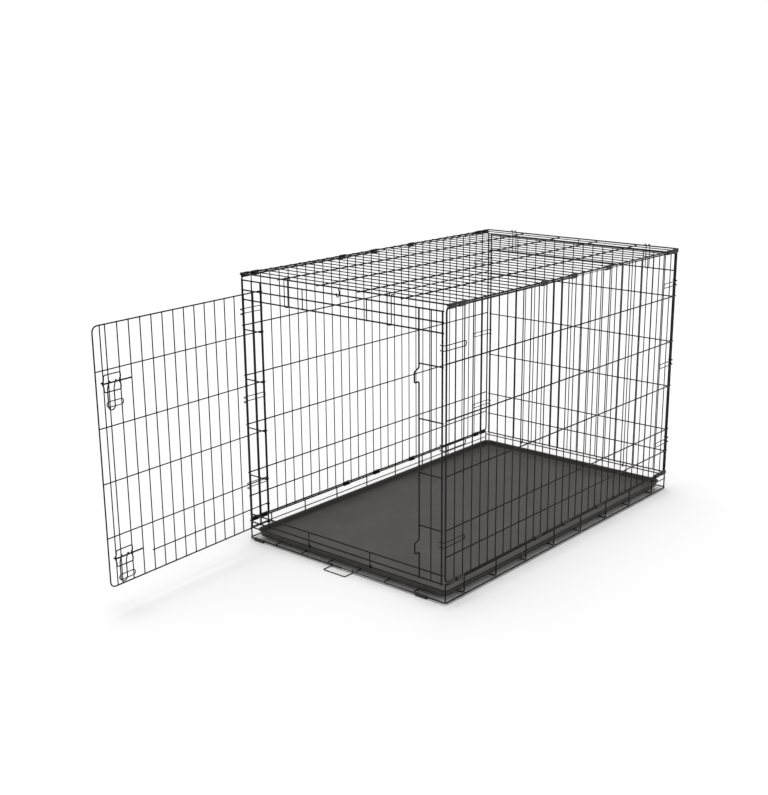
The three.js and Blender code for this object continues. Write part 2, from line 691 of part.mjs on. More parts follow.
for (const [side, hand] of [['left', -1], ['right', 1]]) {
  for (const [edge, z] of [['top', SIDE_TOP + RAIL_STACK / 2], ['base', SIDE_BOTTOM - RAIL_STACK / 2]]) {
    CLIP_PLACES.forEach((offset, i) => {
      const y = offset - LENGTH / 2;
      place(`${side}_${edge}_clip_${i + 1}`, edgeClip(hand, y, z), BLACK_PLASTIC);
    });
  }
}

for (const [name, end] of [['front', -1], ['rear', 1]]) {
  FOOT_SPANS.forEach(([from, to], i) => {
    place(`${name}_foot_${i === 0 ? 'left' : 'right'}`, foot(from, to, end), BLACK_RUBBER);
  });
}

const stopPivot = new THREE.Group();
stopPivot.position.set(0, -BASE_END, BASE_Z);
stopPivot.rotation.x = Math.PI / 2;
crate.add(stopPivot);
place('pan_stop', panStop(), BLACK_WIRE, stopPivot);

const doorPivot = new THREE.Group();
doorPivot.position.set(HINGE_JAMB, -END_PLANE + POST_WELD - POST_WIRE / 2, 0);
doorPivot.rotation.z = THREE.MathUtils.degToRad(DOOR_OPEN);
crate.add(doorPivot);
place('door', door(), BLACK_WIRE, doorPivot);
for (const [name, z] of Object.entries(LATCH_HEIGHTS)) {
  place(`${name}_bolt`, bolt(z), BLACK_WIRE, doorPivot);
  place(`${name}_bolt_handle`, boltHandle(z), BLACK_WIRE, doorPivot);
  place(`${name}_bolt_guide`, boltGuide(z), BLACK_WIRE, doorPivot);
}

crate.position.z = -PAN_FLOOR;

export default crate;
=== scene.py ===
"""Looks of a folding wire dog crate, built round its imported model.

Sizes are millimetres above the ground, as a maker reads them: X to the right of a person
facing the door, Y away from that person. A seat matrix turns each finished mesh to metres
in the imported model's frame.
"""

from __future__ import annotations

import logging
import math
from collections.abc import Callable, Iterable, Sequence
from dataclasses import dataclass, field
from enum import Enum
from typing import Any

import bmesh
import bpy
from bpy.types import Material, Mesh, Node, NodeOutputs, NodeSocket, NodeTree, Object
from mathutils import Matrix, Vector, noise

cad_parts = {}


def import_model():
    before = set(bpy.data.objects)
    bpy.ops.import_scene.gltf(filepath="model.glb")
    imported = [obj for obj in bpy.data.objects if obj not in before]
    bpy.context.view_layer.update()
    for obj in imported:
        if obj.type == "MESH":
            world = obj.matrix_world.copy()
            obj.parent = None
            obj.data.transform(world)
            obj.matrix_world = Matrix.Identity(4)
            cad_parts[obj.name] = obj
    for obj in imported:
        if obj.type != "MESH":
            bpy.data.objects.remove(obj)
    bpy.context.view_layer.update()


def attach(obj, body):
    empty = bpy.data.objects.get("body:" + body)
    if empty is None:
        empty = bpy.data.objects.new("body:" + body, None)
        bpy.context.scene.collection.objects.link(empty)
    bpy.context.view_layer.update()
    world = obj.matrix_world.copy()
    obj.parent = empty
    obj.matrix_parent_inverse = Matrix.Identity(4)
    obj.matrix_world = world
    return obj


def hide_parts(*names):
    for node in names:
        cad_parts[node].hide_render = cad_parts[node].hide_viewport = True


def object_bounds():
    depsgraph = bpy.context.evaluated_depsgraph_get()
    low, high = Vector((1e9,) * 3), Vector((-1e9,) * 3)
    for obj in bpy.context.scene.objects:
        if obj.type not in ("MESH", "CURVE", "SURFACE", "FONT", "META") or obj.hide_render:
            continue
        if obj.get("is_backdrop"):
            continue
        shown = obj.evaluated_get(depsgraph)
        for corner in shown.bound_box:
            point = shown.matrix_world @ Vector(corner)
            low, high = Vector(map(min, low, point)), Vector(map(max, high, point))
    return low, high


LOG = logging.getLogger("dog_crate")
Path = Sequence[Sequence[float]]

METRE = 0.001
PAN_FLOOR_HEIGHT = 14.4
SEAT = Matrix.Scale(METRE, 4) @ Matrix.Translation((0, 0, -PAN_FLOOR_HEIGHT))

# Sizes that several parts share: overhangs are how far a wire runs past its last crossing,
# WANDER is how unevenly repeated wires are spaced, and LATCH_WIRES are the door's uprights
# that the latches are welded to.
WIDTH = 762.0
LENGTH = 1219.0
SIDE_TOP = 820.5
SIDE_BOTTOM = 66.0
RAIL_STACK = 5.7
ROOF_HEIGHT = SIDE_TOP + RAIL_STACK + 2.5
END_PLANE = LENGTH / 2 + 4.5
END_HALF = 371.0
BASE_END = 612.05
RING_HEIGHT = 6.0
WELD = 0.3
POST_WELD = 0.95
CLEARANCE = 0.35
OVERHANG = 2.0
END_OVERHANG = 2.2
WANDER = 0.6
HAIRPIN_GAP = 14.0
LATCH_WIRES = (525.0, 563.9)
LATCH_HEIGHTS = {"upper": 630.0, "lower": 150.0}


class Gauge(float, Enum):
    """Wire diameters in millimetres."""

    RAIL = 5.0
    BOLT = 4.6
    POST = 4.5
    RUNG = 4.0
    DOOR_RUNG = 3.4
    FILL = 3.2
    HOOK = 2.8


class Slot(str, Enum):
    """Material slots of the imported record."""

    WIRE = "black_wire"
    LATCH = "latch_wire"
    PAN = "pan_plastic"
    CLIP = "clip_plastic"
    FOOT = "foot_rubber"


# ---- node helpers ----


def add(tree: NodeTree, kind: str, inputs: dict | None = None, **props: Any) -> Node:
    """Add a node to a tree.

    Args:
        tree: Node tree that gets the node.
        kind: The node's type name.
        inputs: Value or source socket for each input, by name or index.
        props: Properties of the node itself.

    Returns:
        The new node.
    """
    node = tree.nodes.new(kind)
    for key, value in props.items():
        setattr(node, key, value)
    for key, value in (inputs or {}).items():
        if isinstance(value, NodeSocket):
            tree.links.new(value, node.inputs[key])
        else:
            node.inputs[key].default_value = value
    return node


def math_node(tree: NodeTree, operation: str, *values: Any) -> NodeSocket:
    """Add a maths node.

    Args:
        tree: Node tree that gets the node.
        operation: Name of the operation.
        values: Numbers or sockets it works on.

    Returns:
        The result's socket.
    """
    return add(tree, "ShaderNodeMath", dict(enumerate(values)), operation=operation).outputs[0]


def ramp(
    tree: NodeTree, value: Any, low: float, high: float, out: tuple = (0.0, 1.0)
) -> NodeSocket:
    """Map a range of values smoothly to another.

    Args:
        tree: Node tree that gets the node.
        value: Socket that is mapped.
        low: Value that gives the first output.
        high: Value that gives the second output.
        out: The two outputs.

    Returns:
        The mapped value's socket.
    """
    inputs = {0: value, 1: low, 2: high, 3: out[0], 4: out[1]}
    node = add(tree, "ShaderNodeMapRange", inputs, interpolation_type="SMOOTHSTEP")
    return node.outputs[0]


def group(kind: str, name: str, inputs: dict, outputs: dict, fill: Callable) -> NodeTree:
    """Make a node group once, or find it again.

    Args:
        kind: Tree type.
        name: The group's name.
        inputs: Socket type and default value of each input.
        outputs: Socket type of each output.
        fill: Function of the tree and its input node that returns the output sockets.

    Returns:
        The node group.
    """
    if name in bpy.data.node_groups:
        return bpy.data.node_groups[name]
    tree = bpy.data.node_groups.new(name, kind)
    for label, (socket_type, value) in inputs.items():
        socket = tree.interface.new_socket(label, in_out="INPUT", socket_type=socket_type)
        if value is not None:
            socket.default_value = value
    for label, socket_type in outputs.items():
        tree.interface.new_socket(label, in_out="OUTPUT", socket_type=socket_type)
    entry = tree.nodes.new("NodeGroupInput")
    made = fill(tree, entry)
    add(tree, "NodeGroupOutput", dict(zip(outputs, made)))
    return tree


# ---- surface effects ----

NUMBER = "NodeSocketFloat"


def speckle(tree: NodeTree, scale: Any, **more: float) -> Node:
    """Add a noise texture laid on the object. Returns the node."""
    at = add(tree, "ShaderNodeTexCoord").outputs["Object"]
    return add(tree, "ShaderNodeTexNoise", {"Vector": at, "Scale": scale, **more})


def fill_peel(tree: NodeTree, entry: Node) -> list:
    """Coat ripple: a fine and a coarse noise added up. Returns its height."""
    fine = speckle(tree, entry.outputs["Scale"], Detail=3.0)
    slow = math_node(tree, "MULTIPLY", entry.outputs["Scale"], 0.12)
    coarse = speckle(tree, slow, Detail=2.0).outputs[0]
    share = entry.outputs["Slow Share"]
    return [math_node(tree, "MULTIPLY_ADD", coarse, share, fine.outputs[0])]


def fill_gloss(tree: NodeTree, entry: Node) -> list:
    """Uneven gloss: patches between two roughness values. Returns the roughness."""
    patch = speckle(tree, entry.outputs["Scale"], Detail=5.0)
    even = ramp(tree, patch.outputs[0], 0.3, 0.7)
    span = math_node(tree, "SUBTRACT", entry.outputs["Dull"], entry.outputs["Shiny"])
    return [math_node(tree, "MULTIPLY_ADD", even, span, entry.outputs["Shiny"])]


def fill_dust(tree: NodeTree, entry: Node) -> list:
    """Dust that settles on faces that look up. Returns its mask."""
    normal = add(tree, "ShaderNodeNewGeometry").outputs["Normal"]
    up = add(tree, "ShaderNodeSeparateXYZ", {0: normal}).outputs[2]
    cloud = speckle(tree, entry.outputs["Scale"], Detail=6.0)
    facing = ramp(tree, up, 0.1, 1.0)
    spread = ramp(tree, cloud.outputs[0], 0.35, 0.75)
    settled = math_node(tree, "MULTIPLY", facing, spread)
    return [math_node(tree, "MULTIPLY", settled, entry.outputs["Amount"])]


def fill_rub(tree: NodeTree, entry: Node) -> list:
    """Rubbed spots where a coat has worn thin. Returns their mask."""
    spots = speckle(tree, entry.outputs["Scale"], Detail=8.0, Roughness=0.7)
    top = math_node(tree, "ADD", entry.outputs["Threshold"], 0.06)
    node = add(tree, "ShaderNodeMapRange", {0: spots.outputs[0], 1: entry.outputs["Threshold"], 2: top})
    return [math_node(tree, "MULTIPLY", node.outputs[0], entry.outputs["Amount"])]


def fill_grain(tree: NodeTree, entry: Node) -> list:
    """Moulded pebble grain: rounded cells with shallow valleys. Returns height and a valley mask for painted
    shade.
    """
    at = add(tree, "ShaderNodeTexCoord").outputs["Object"]
    drift = speckle(tree, math_node(tree, "MULTIPLY", entry.outputs["Scale"], 0.5))
    pull = add(tree, "ShaderNodeVectorMath", {0: drift.outputs[1], "Scale": 0.0015}, operation="SCALE")
    bent = add(tree, "ShaderNodeVectorMath", {0: at, 1: pull.outputs[0]}, operation="ADD")
    inputs = {"Vector": bent.outputs[0], "Scale": entry.outputs["Scale"]}
    cells = add(tree, "ShaderNodeTexVoronoi", inputs, feature="SMOOTH_F1")
    # The valley mask marks where painted shade goes: the low ground between the grain's cells.
    height = math_node(tree, "SUBTRACT", 1.0, cells.outputs["Distance"])
    return [height, ramp(tree, cells.outputs["Distance"], 0.45, 0.8)]


class Effect(Enum):
    """Surface effects that several finishes share."""

    PEEL = ("Coat ripple", {"Scale": 900.0, "Slow Share": 0.6}, ["Height"], fill_peel)
    GLOSS = ("Uneven gloss", {"Scale": 40.0, "Shiny": 0.3, "Dull": 0.5}, ["Roughness"], fill_gloss)
    DUST = ("Settled dust", {"Scale": 12.0, "Amount": 0.2}, ["Mask"], fill_dust)
    RUB = ("Rubbed spots", {"Scale": 60.0, "Threshold": 0.62, "Amount": 1.0}, ["Mask"], fill_rub)
    GRAIN = ("Moulded grain", {"Scale": 700.0}, ["Height", "Valley"], fill_grain)

    def use(self, tree: NodeTree, **values: float) -> NodeOutputs:
        """Place the effect in a material.

        Args:
            tree: The material's node tree.
            values: Values of its inputs, with underscores for spaces.

        Returns:
            The group node's outputs.
        """
        name, inputs, outputs, fill = self.value
        sockets = {label: (NUMBER, value) for label, value in inputs.items()}
        made = group("ShaderNodeTree", name, sockets, dict.fromkeys(outputs, NUMBER), fill)
        node = add(tree, "ShaderNodeGroup", node_tree=made)
        for label, value in values.items():
            node.inputs[label.replace("_", " ")].default_value = value
        return node.outputs


@dataclass(frozen=True)
class CoatFinish:
    """Satin black coat on drawn steel wire.

    Args:
        name: The material's name.
        colour: Colour of the sound coat.
        worn: Colour where the coat is rubbed.
        shiny: Lowest roughness.
        dull: Highest roughness.
        wear: Noise level above which the coat is rubbed; lower is more worn.
    """

    name: str
    colour: tuple = (0.0042, 0.0042, 0.0045, 1.0)
    worn: tuple = (0.03, 0.029, 0.028, 1.0)
    shiny: float = 0.34
    dull: float = 0.52
    wear: float = 0.66

    def build(self) -> Material:
        """Return the material."""
        material, tree, shader = new_material(self.name)
        rub = Effect.RUB.use(tree, Scale=70.0, Threshold=self.wear, Amount=0.8)["Mask"]
        dust = Effect.DUST.use(tree, Scale=9.0, Amount=0.1)["Mask"]
        base = mix_colour(tree, rub, self.colour, self.worn)
        base = mix_colour(tree, dust, base, (0.1, 0.097, 0.09, 1.0))
        gloss = Effect.GLOSS.use(tree, Scale=55.0, Shiny=self.shiny, Dull=self.dull)["Roughness"]
        dusty = math_node(tree, "MULTIPLY_ADD", dust, 0.5, gloss)
        peel = Effect.PEEL.use(tree, Scale=1100.0, Slow_Share=0.8)["Height"]
        bump = add(tree, "ShaderNodeBump", {"Strength": 0.35, "Distance": 0.00012, "Height": peel})
        dress(tree, shader, {"Base Color": base, "Roughness": dusty, "Normal": bump.outputs[0]})
        shader.inputs["Metallic"].default_value = 0.0
        shader.inputs["Specular IOR Level"].default_value = 0.2
        return material


@dataclass(frozen=True)
class PlasticFinish:
    """Black moulded plastic or rubber with a pebble grain.

    Args:
        name: The material's name.
        colour: Colour of the clean surface.
        scuffed: Colour of scuffs.
        shiny: Lowest roughness.
        dull: Highest roughness.
        grain: Grain cells per metre.
        depth: Height of the grain in metres.
        dust: How much dust lies on faces that look up.
        scuff: Noise level above which the surface is scuffed.
    """

    name: str
    colour: tuple
    scuffed: tuple
    shiny: float
    dull: float
    grain: float
    depth: float
    dust: float
    scuff: float = 0.64

    def build(self) -> Material:
        """Return the material."""
        material, tree, shader = new_material(self.name)
        grain = Effect.GRAIN.use(tree, Scale=self.grain)
        rub = Effect.RUB.use(tree, Scale=22.0, Threshold=self.scuff, Amount=0.55)["Mask"]
        dust = Effect.DUST.use(tree, Scale=7.0, Amount=self.dust)["Mask"]
        # Painted shade: the grain's valleys are darkened to 72 per cent of the plain colour.
        valley_shade = tuple(0.72 * part for part in self.colour[:3]) + (1.0,)
        base = mix_colour(tree, grain["Valley"], self.colour, valley_shade)
        base = mix_colour(tree, rub, base, self.scuffed)
        base = mix_colour(tree, dust, base, (0.2, 0.19, 0.175, 1.0))
        gloss = Effect.GLOSS.use(tree, Scale=6.0, Shiny=self.shiny, Dull=self.dull)["Roughness"]
        rough = math_node(tree, "MULTIPLY_ADD", rub, 0.12, math_node(tree, "MULTIPLY_ADD", dust, 0.3, gloss))
        relief = {"Strength": 0.6, "Distance": self.depth, "Height": grain["Height"]}
        bump = add(tree, "ShaderNodeBump", relief)
        dress(tree, shader, {"Base Color": base, "Roughness": rough, "Normal": bump.outputs[0]})
        return material


def new_material(name: str) -> tuple:
    """Return a new material, its node tree and its shader."""
    material = bpy.data.materials.new(name)
    material.use_nodes = True
    return material, material.node_tree, material.node_tree.nodes["Principled BSDF"]


def mix_colour(tree: NodeTree, factor: Any, first: Any, second: Any) -> NodeSocket:
    """Mix two colours.

    Args:
        tree: The material's node tree.
        factor: Share of the second colour.
        first: Colour or socket.
        second: Colour or socket.

    Returns:
        The mixed colour's socket.
    """
    return add(tree, "ShaderNodeMix", {0: factor, 6: first, 7: second}, data_type="RGBA").outputs[2]


def dress(tree: NodeTree, shader: Node, sources: dict) -> None:
    """Link each source socket to the shader's input of that name."""
    for label, source in sources.items():
        tree.links.new(source, shader.inputs[label])


WIRE_FINISH = CoatFinish("Satin coated wire")
LATCH_FINISH = CoatFinish("Rubbed latch wire", shiny=0.24, dull=0.42, wear=0.58)
PAN_FINISH = PlasticFinish(
    "Grained pan plastic",
    colour=(0.041, 0.0385, 0.032, 1.0),
    scuffed=(0.067, 0.064, 0.058, 1.0),
    shiny=0.42,
    dull=0.56,
    grain=620.0,
    depth=0.00018,
    dust=0.1,
)
CLIP_FINISH = PlasticFinish(
    "Matt clip plastic",
    colour=(0.013, 0.013, 0.014, 1.0),
    scuffed=(0.05, 0.05, 0.05, 1.0),
    shiny=0.45,
    dull=0.62,
    grain=1500.0,
    depth=0.00008,
    dust=0.14,
)
FOOT_FINISH = PlasticFinish(
    "Foot rubber",
    colour=(0.012, 0.012, 0.012, 1.0),
    scuffed=(0.06, 0.057, 0.052, 1.0),
    shiny=0.6,
    dull=0.8,
    grain=1100.0,
    depth=0.00012,
    dust=0.25,
    scuff=0.6,
)


# ---- wire making with Geometry Nodes ----


def fill_round_wire(tree: NodeTree, entry: Node) -> list:
    """Round wires with filleted bends along the input's edges, copied in a row. Returns the wires."""
    source = entry.outputs
    thick, bend = named(tree, "thick"), named(tree, "bend")
    axis = add(tree, "GeometryNodeMeshToCurve", {0: source["Axes"]})
    fillet = {"Curve": axis.outputs[0], "Count": source["Bend Steps"], "Radius": bend, "Limit Radius": True}
    smooth = add(tree, "GeometryNodeFilletCurve", fillet, mode="POLY")
    section = add(tree, "GeometryNodeCurvePrimitiveCircle", {"Resolution": source["Sides"], "Radius": 1.0})
    sweep = {"Curve": smooth.outputs[0], "Profile Curve": section.outputs[0], "Scale": thick}
    body = add(tree, "GeometryNodeCurveToMesh", {**sweep, "Fill Caps": True})
    clean = add(tree, "GeometryNodeMergeByDistance", {"Geometry": body.outputs[0], "Distance": 0.004})
    soft = add(tree, "GeometryNodeSetShadeSmooth", {"Geometry": clean.outputs[0]})
    line = add(tree, "GeometryNodeMeshLine", {"Count": source["Copies"], "Offset": source["Pitch"]})
    scatter = add(tree, "FunctionNodeRandomValue", {"Seed": source["Seed"]}, data_type="FLOAT")
    drift = random_drift(tree, source["Wander"], scatter.outputs[1])
    moved = add(tree, "GeometryNodeSetPosition", {"Geometry": line.outputs[0], "Offset": drift})
    placing = {"Points": moved.outputs[0], "Instance": soft.outputs[0]}
    return [place_copies(tree, placing, source["Finish"])]


def random_drift(tree: NodeTree, reach: Any, share: Any) -> NodeSocket:
    """Scale a vector by a random share between minus a half and a half. Returns the vector."""
    centred = math_node(tree, "SUBTRACT", share, 0.5)
    return add(tree, "ShaderNodeVectorMath", {0: reach, "Scale": centred}, operation="SCALE").outputs[0]


def fill_beads(tree: NodeTree, entry: Node) -> list:
    """Flattened weld beads on the input's points, of random size. Returns the beads."""
    source = entry.outputs
    ball = add(tree, "GeometryNodeMeshUVSphere", {"Segments": 8, "Rings": 4, "Radius": source["Radius"]})
    soft = add(tree, "GeometryNodeSetShadeSmooth", {"Geometry": ball.outputs[0]})
    facing = named(tree, "facing", "FLOAT_VECTOR")
    turn = add(tree, "FunctionNodeAlignRotationToVector", {"Vector": facing}, axis="Z")
    low = {"Min": (0.85, 0.85, 0.55), "Max": (1.3, 1.3, 0.8), "Seed": source["Seed"]}
    size = add(tree, "FunctionNodeRandomValue", low, data_type="FLOAT_VECTOR")
    placing = {"Points": source["Places"], "Instance": soft.outputs[0]}
    placing |= {"Rotation": turn.outputs[0], "Scale": size.outputs[0]}
    return [place_copies(tree, placing, source["Finish"])]


def fill_row(tree: NodeTree, entry: Node) -> list:
    """Copies of one part on the input's points. Returns the copies."""
    source = entry.outputs
    part = add(tree, "GeometryNodeObjectInfo", {"Object": source["Part"]}, transform_space="ORIGINAL")
    placing = {"Points": source["Places"], "Instance": part.outputs["Geometry"]}
    return [place_copies(tree, placing, source["Finish"])]


def named(tree: NodeTree, name: str, kind: str = "FLOAT") -> NodeSocket:
    """Read a named attribute. Returns its socket."""
    return add(tree, "GeometryNodeInputNamedAttribute", {"Name": name}, data_type=kind).outputs[0]


def place_copies(tree: NodeTree, placing: dict, finish: Any) -> NodeSocket:
    """Put copies on points, realize them and set their material. Returns the geometry."""
    copies = add(tree, "GeometryNodeInstanceOnPoints", placing)
    real = add(tree, "GeometryNodeRealizeInstances", {"Geometry": copies.outputs[0]})
    return add(tree, "GeometryNodeSetMaterial", {"Geometry": real.outputs[0], "Material": finish}).outputs[0]


GEOMETRY = "NodeSocketGeometry"
VECTOR = "NodeSocketVector"
WHOLE = "NodeSocketInt"
MATERIAL = "NodeSocketMaterial"


class Maker(Enum):
    """Geometry node trees that make the crate's repeated shapes."""

    ROUND_WIRE = (
        "Round wire row",
        {
            "Axes": (GEOMETRY, None),
            "Sides": (WHOLE, 12),
            "Bend Steps": (WHOLE, 5),
            "Copies": (WHOLE, 1),
            "Pitch": (VECTOR, (0.0, 0.0, 0.0)),
            "Wander": (VECTOR, (0.0, 0.0, 0.0)),
            "Seed": (WHOLE, 7),
            "Finish": (MATERIAL, None),
        },
        fill_round_wire,
    )
    WELD_BEADS = (
        "Weld beads",
        {
            "Places": (GEOMETRY, None),
            "Radius": (NUMBER, 1.7),
            "Seed": (WHOLE, 11),
            "Finish": (MATERIAL, None),
        },
        fill_beads,
    )
    PART_ROW = (
        "Part row",
        {"Places": (GEOMETRY, None), "Part": ("NodeSocketObject", None), "Finish": (MATERIAL, None)},
        fill_row,
    )

    def run(self, source: Mesh, **values: Any) -> Mesh:
        """Run the tree on a mesh.

        Args:
            source: Mesh that goes in.
            values: Values of the tree's inputs, with underscores for spaces.

        Returns:
            The result as a plain mesh.
        """
        name, inputs, fill = self.value
        tree = group("GeometryNodeTree", name, inputs, {"Geometry": GEOMETRY}, fill)
        bench = bpy.data.objects.new("bench", source)
        bpy.context.scene.collection.objects.link(bench)
        modifier = bench.modifiers.new("make", "NODES")
        modifier.node_group = tree
        ids = {item.name: item.identifier for item in tree.interface.items_tree if item.in_out == "INPUT"}
        for label, value in values.items():
            modifier[ids[label.replace("_", " ")]] = value
        done = bench.evaluated_get(bpy.context.evaluated_depsgraph_get())
        mesh = bpy.data.meshes.new_from_object(done)
        bpy.data.objects.remove(bench)
        bpy.data.meshes.remove(source)
        return mesh


def merge_meshes(meshes: Iterable[Mesh], seat: Matrix, name: str) -> Mesh:
    """Join meshes in one, seat it and point its faces outward.

    Args:
        meshes: Meshes to join, which are used up.
        seat: Matrix from the maker's millimetres to the model's frame.
        name: Name of the result.

    Returns:
        The joined mesh.
    """
    form = bmesh.new()
    material = None
    for mesh in meshes:
        material = material or next((slot for slot in mesh.materials if slot), None)
        form.from_mesh(mesh)
        bpy.data.meshes.remove(mesh)
    form.transform(seat)
    bmesh.ops.recalc_face_normals(form, faces=form.faces)
    for face in form.faces:
        face.smooth = True
        face.material_index = 0
    whole = bpy.data.meshes.new(name)
    form.to_mesh(whole)
    form.free()
    if material:
        whole.materials.append(material)
    return whole


def show(mesh: Mesh, body: str, nodes: Sequence[str]) -> Object:
    """Make a mesh a shown piece.

    Args:
        mesh: Mesh in the model's frame; its name becomes the piece's name.
        body: CAD body that the piece rides on.
        nodes: CAD nodes that it stands for.

    Returns:
        The piece.
    """
    piece = bpy.data.objects.new(mesh.name, mesh)
    bpy.context.scene.collection.objects.link(piece)
    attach(piece, body)
    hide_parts(*nodes)
    count = len(mesh.polygons)
    LOG.info("%s: %d faces, rides on %s, stands for %d nodes", mesh.name, count, body, len(nodes))
    return piece


@dataclass
class WireBatch:
    """Wire axes that are copied together in a row.

    Args:
        copies: How many times the batch is repeated.
        pitch: Step from one copy to the next.
    """

    copies: int
    pitch: tuple
    points: list = field(default_factory=list)
    edges: list = field(default_factory=list)
    thick: list = field(default_factory=list)
    bend: list = field(default_factory=list)

    def take(self, path: list, thick: list, bend: list, closed: bool) -> None:
        """Add one axis with a radius and a bend radius for each of its points."""
        first = len(self.points)
        self.points += path
        self.thick += thick
        self.bend += bend
        self.edges += [(first + i, first + i + 1) for i in range(len(path) - 1)]
        if closed:
            self.edges.append((first + len(path) - 1, first))

    def mesh(self) -> Mesh:
        """Return the axes as a mesh with the attributes that the wire tree reads."""
        made = bpy.data.meshes.new("axes")
        made.from_pydata(self.points, self.edges, [])
        for name, values in (("thick", self.thick), ("bend", self.bend)):
            made.attributes.new(name, "FLOAT", "POINT").data.foreach_set("value", values)
        return made


class WireWork:
    """Collects the wires and welds of one piece and makes them one mesh."""

    def __init__(self, material: Material, seat: Matrix = SEAT, at: Callable | None = None) -> None:
        """Start an empty piece.

        Args:
            material: Finish of every wire.
            seat: Matrix from the maker's millimetres to the model's frame.
            at: Maps a panel's own (u, v, w) to millimetres, w across its weld plane.
        """
        self.material = material
        self.seat = seat
        self.at = at or (lambda u, v, w: (u, v, w))
        self.batches: dict = {}
        self.beads: list = []

    def wire(
        self,
        path: Path,
        gauge: float,
        bend: float = 0.0,
        row: tuple[int, Path] = (1, (0.0, 0.0, 0.0)),
        closed: bool = False,
    ) -> None:
        """Add a wire, or a row of equal ones.

        Args:
            path: Corners of its axis, in the piece's own (u, v, w).
            gauge: Diameter.
            bend: Radius of its bends.
            row: Number of copies and the step between them.
            closed: Whether it joins up with its start.
        """
        copies, pitch = row
        origin = Vector(self.at(0.0, 0.0, 0.0))
        step = tuple(Vector(self.at(*pitch)) - origin)
        points = [Vector(self.at(*corner)) for corner in path]
        radius = gauge / 2
        thick = [radius] * len(points)
        bends = [bend] * len(points)
        if not closed:
            points, thick, bends = self.round_ends(points, radius, bends)
        batch = self.batches.setdefault((copies, step), WireBatch(copies, step))
        batch.take(points, thick, bends, closed)

    @staticmethod
    def round_ends(points: list, radius: float, bends: list) -> tuple[list, list, list]:
        """Ease the two cut ends of a wire, as a tumbled and coated end is."""
        eased, sizes = list(points), [radius] * len(points)
        for end, inner in ((0, 1), (-1, -2)):
            inward = (points[inner] - points[end]).normalized()
            steps = [(0.0, 0.5), (0.12, 0.78), (0.42, 1.0)]
            made = [points[end] + inward * radius * along for along, _ in steps]
            widths = [radius * share for _, share in steps]
            if end == 0:
                eased, sizes = made + eased[1:], widths + sizes[1:]
                bends = [0.0] * 3 + bends[1:]
            else:
                eased, sizes = eased[:-1] + made[::-1], sizes[:-1] + widths[::-1]
                bends = bends[:-1] + [0.0] * 3
        return eased, sizes, bends

    def level(self, v: float, start: float, stop: float, gauge: float, weld: float = WELD) -> None:
        """Add a level wire on the +w side of the weld plane."""
        w = gauge / 2 - weld
        self.wire([(start, v, w), (stop, v, w)], gauge)

    def upright(
        self,
        u: float,
        start: float,
        stop: float,
        gauge: float,
        weld: float = WELD,
        row: tuple[int, float] = (1, 0.0),
    ) -> None:
        """Add an upright wire on the -w side, or a row of them with a step along u."""
        w = weld - gauge / 2
        self.wire([(u, start, w), (u, stop, w)], gauge, row=(row[0], (row[1], 0.0, 0.0)))

    def weld(self, us: Iterable[float], vs: Iterable[float], w: float = 0.0) -> None:
        """Add a weld bead at every crossing of the given places."""
        levels = list(vs)
        facing = Vector(self.at(0.0, 0.0, 1.0)) - Vector(self.at(0.0, 0.0, 0.0))
        self.beads += [(self.at(u, v, w), tuple(facing)) for u in us for v in levels]

    def build(self, name: str, body: str, slot: Slot, nodes: Sequence[str], bead: float = 1.75) -> Object:
        """Make the piece.

        Args:
            name: The piece's name.
            body: CAD body that it rides on.
            slot: Material slot; not used.
            nodes: CAD nodes that it stands for.
            bead: Radius of its weld beads.

        Returns:
            The piece.
        """
        meshes = []
        for number, batch in enumerate(self.batches.values()):
            wander = (0.0, 0.0, 0.0)
            if batch.copies > 1:
                wander = tuple(WANDER * part / max(map(abs, batch.pitch)) for part in batch.pitch)
            values = {"Copies": batch.copies, "Pitch": batch.pitch, "Wander": wander, "Seed": number}
            meshes.append(Maker.ROUND_WIRE.run(batch.mesh(), Finish=self.material, **values))
        if self.beads:
            places = bpy.data.meshes.new("places")
            places.from_pydata([place for place, _ in self.beads], [], [])
            facing = places.attributes.new("facing", "FLOAT_VECTOR", "POINT")
            facing.data.foreach_set("vector", [part for _, way in self.beads for part in way])
            meshes.append(Maker.WELD_BEADS.run(places, Radius=bead, Finish=self.material))
        return show(merge_meshes(meshes, self.seat, name), body, nodes)


def span(first: float, step: float, count: int) -> list[float]:
    """Return equally spaced places."""
    return [first + step * i for i in range(count)]


def eye(radius: float, first: int, last: int) -> list[tuple[float, float]]:
    """Corners of a hexagon whose bends, filleted by its radius, make a round eye.

    Args:
        radius: Radius of the eye's axis.
        first: Number of the first corner, counted in sixths of a turn.
        last: Number of the last corner; lower than the first to run clockwise.

    Returns:
        The corners from the first to the last.
    """
    corner = radius / math.cos(math.pi / 6)
    way = 1 if last >= first else -1
    turns = [i * math.pi / 3 for i in range(first, last + way, way)]
    return [(corner * math.cos(turn), corner * math.sin(turn)) for turn in turns]


# ---- the crate's wire parts ----


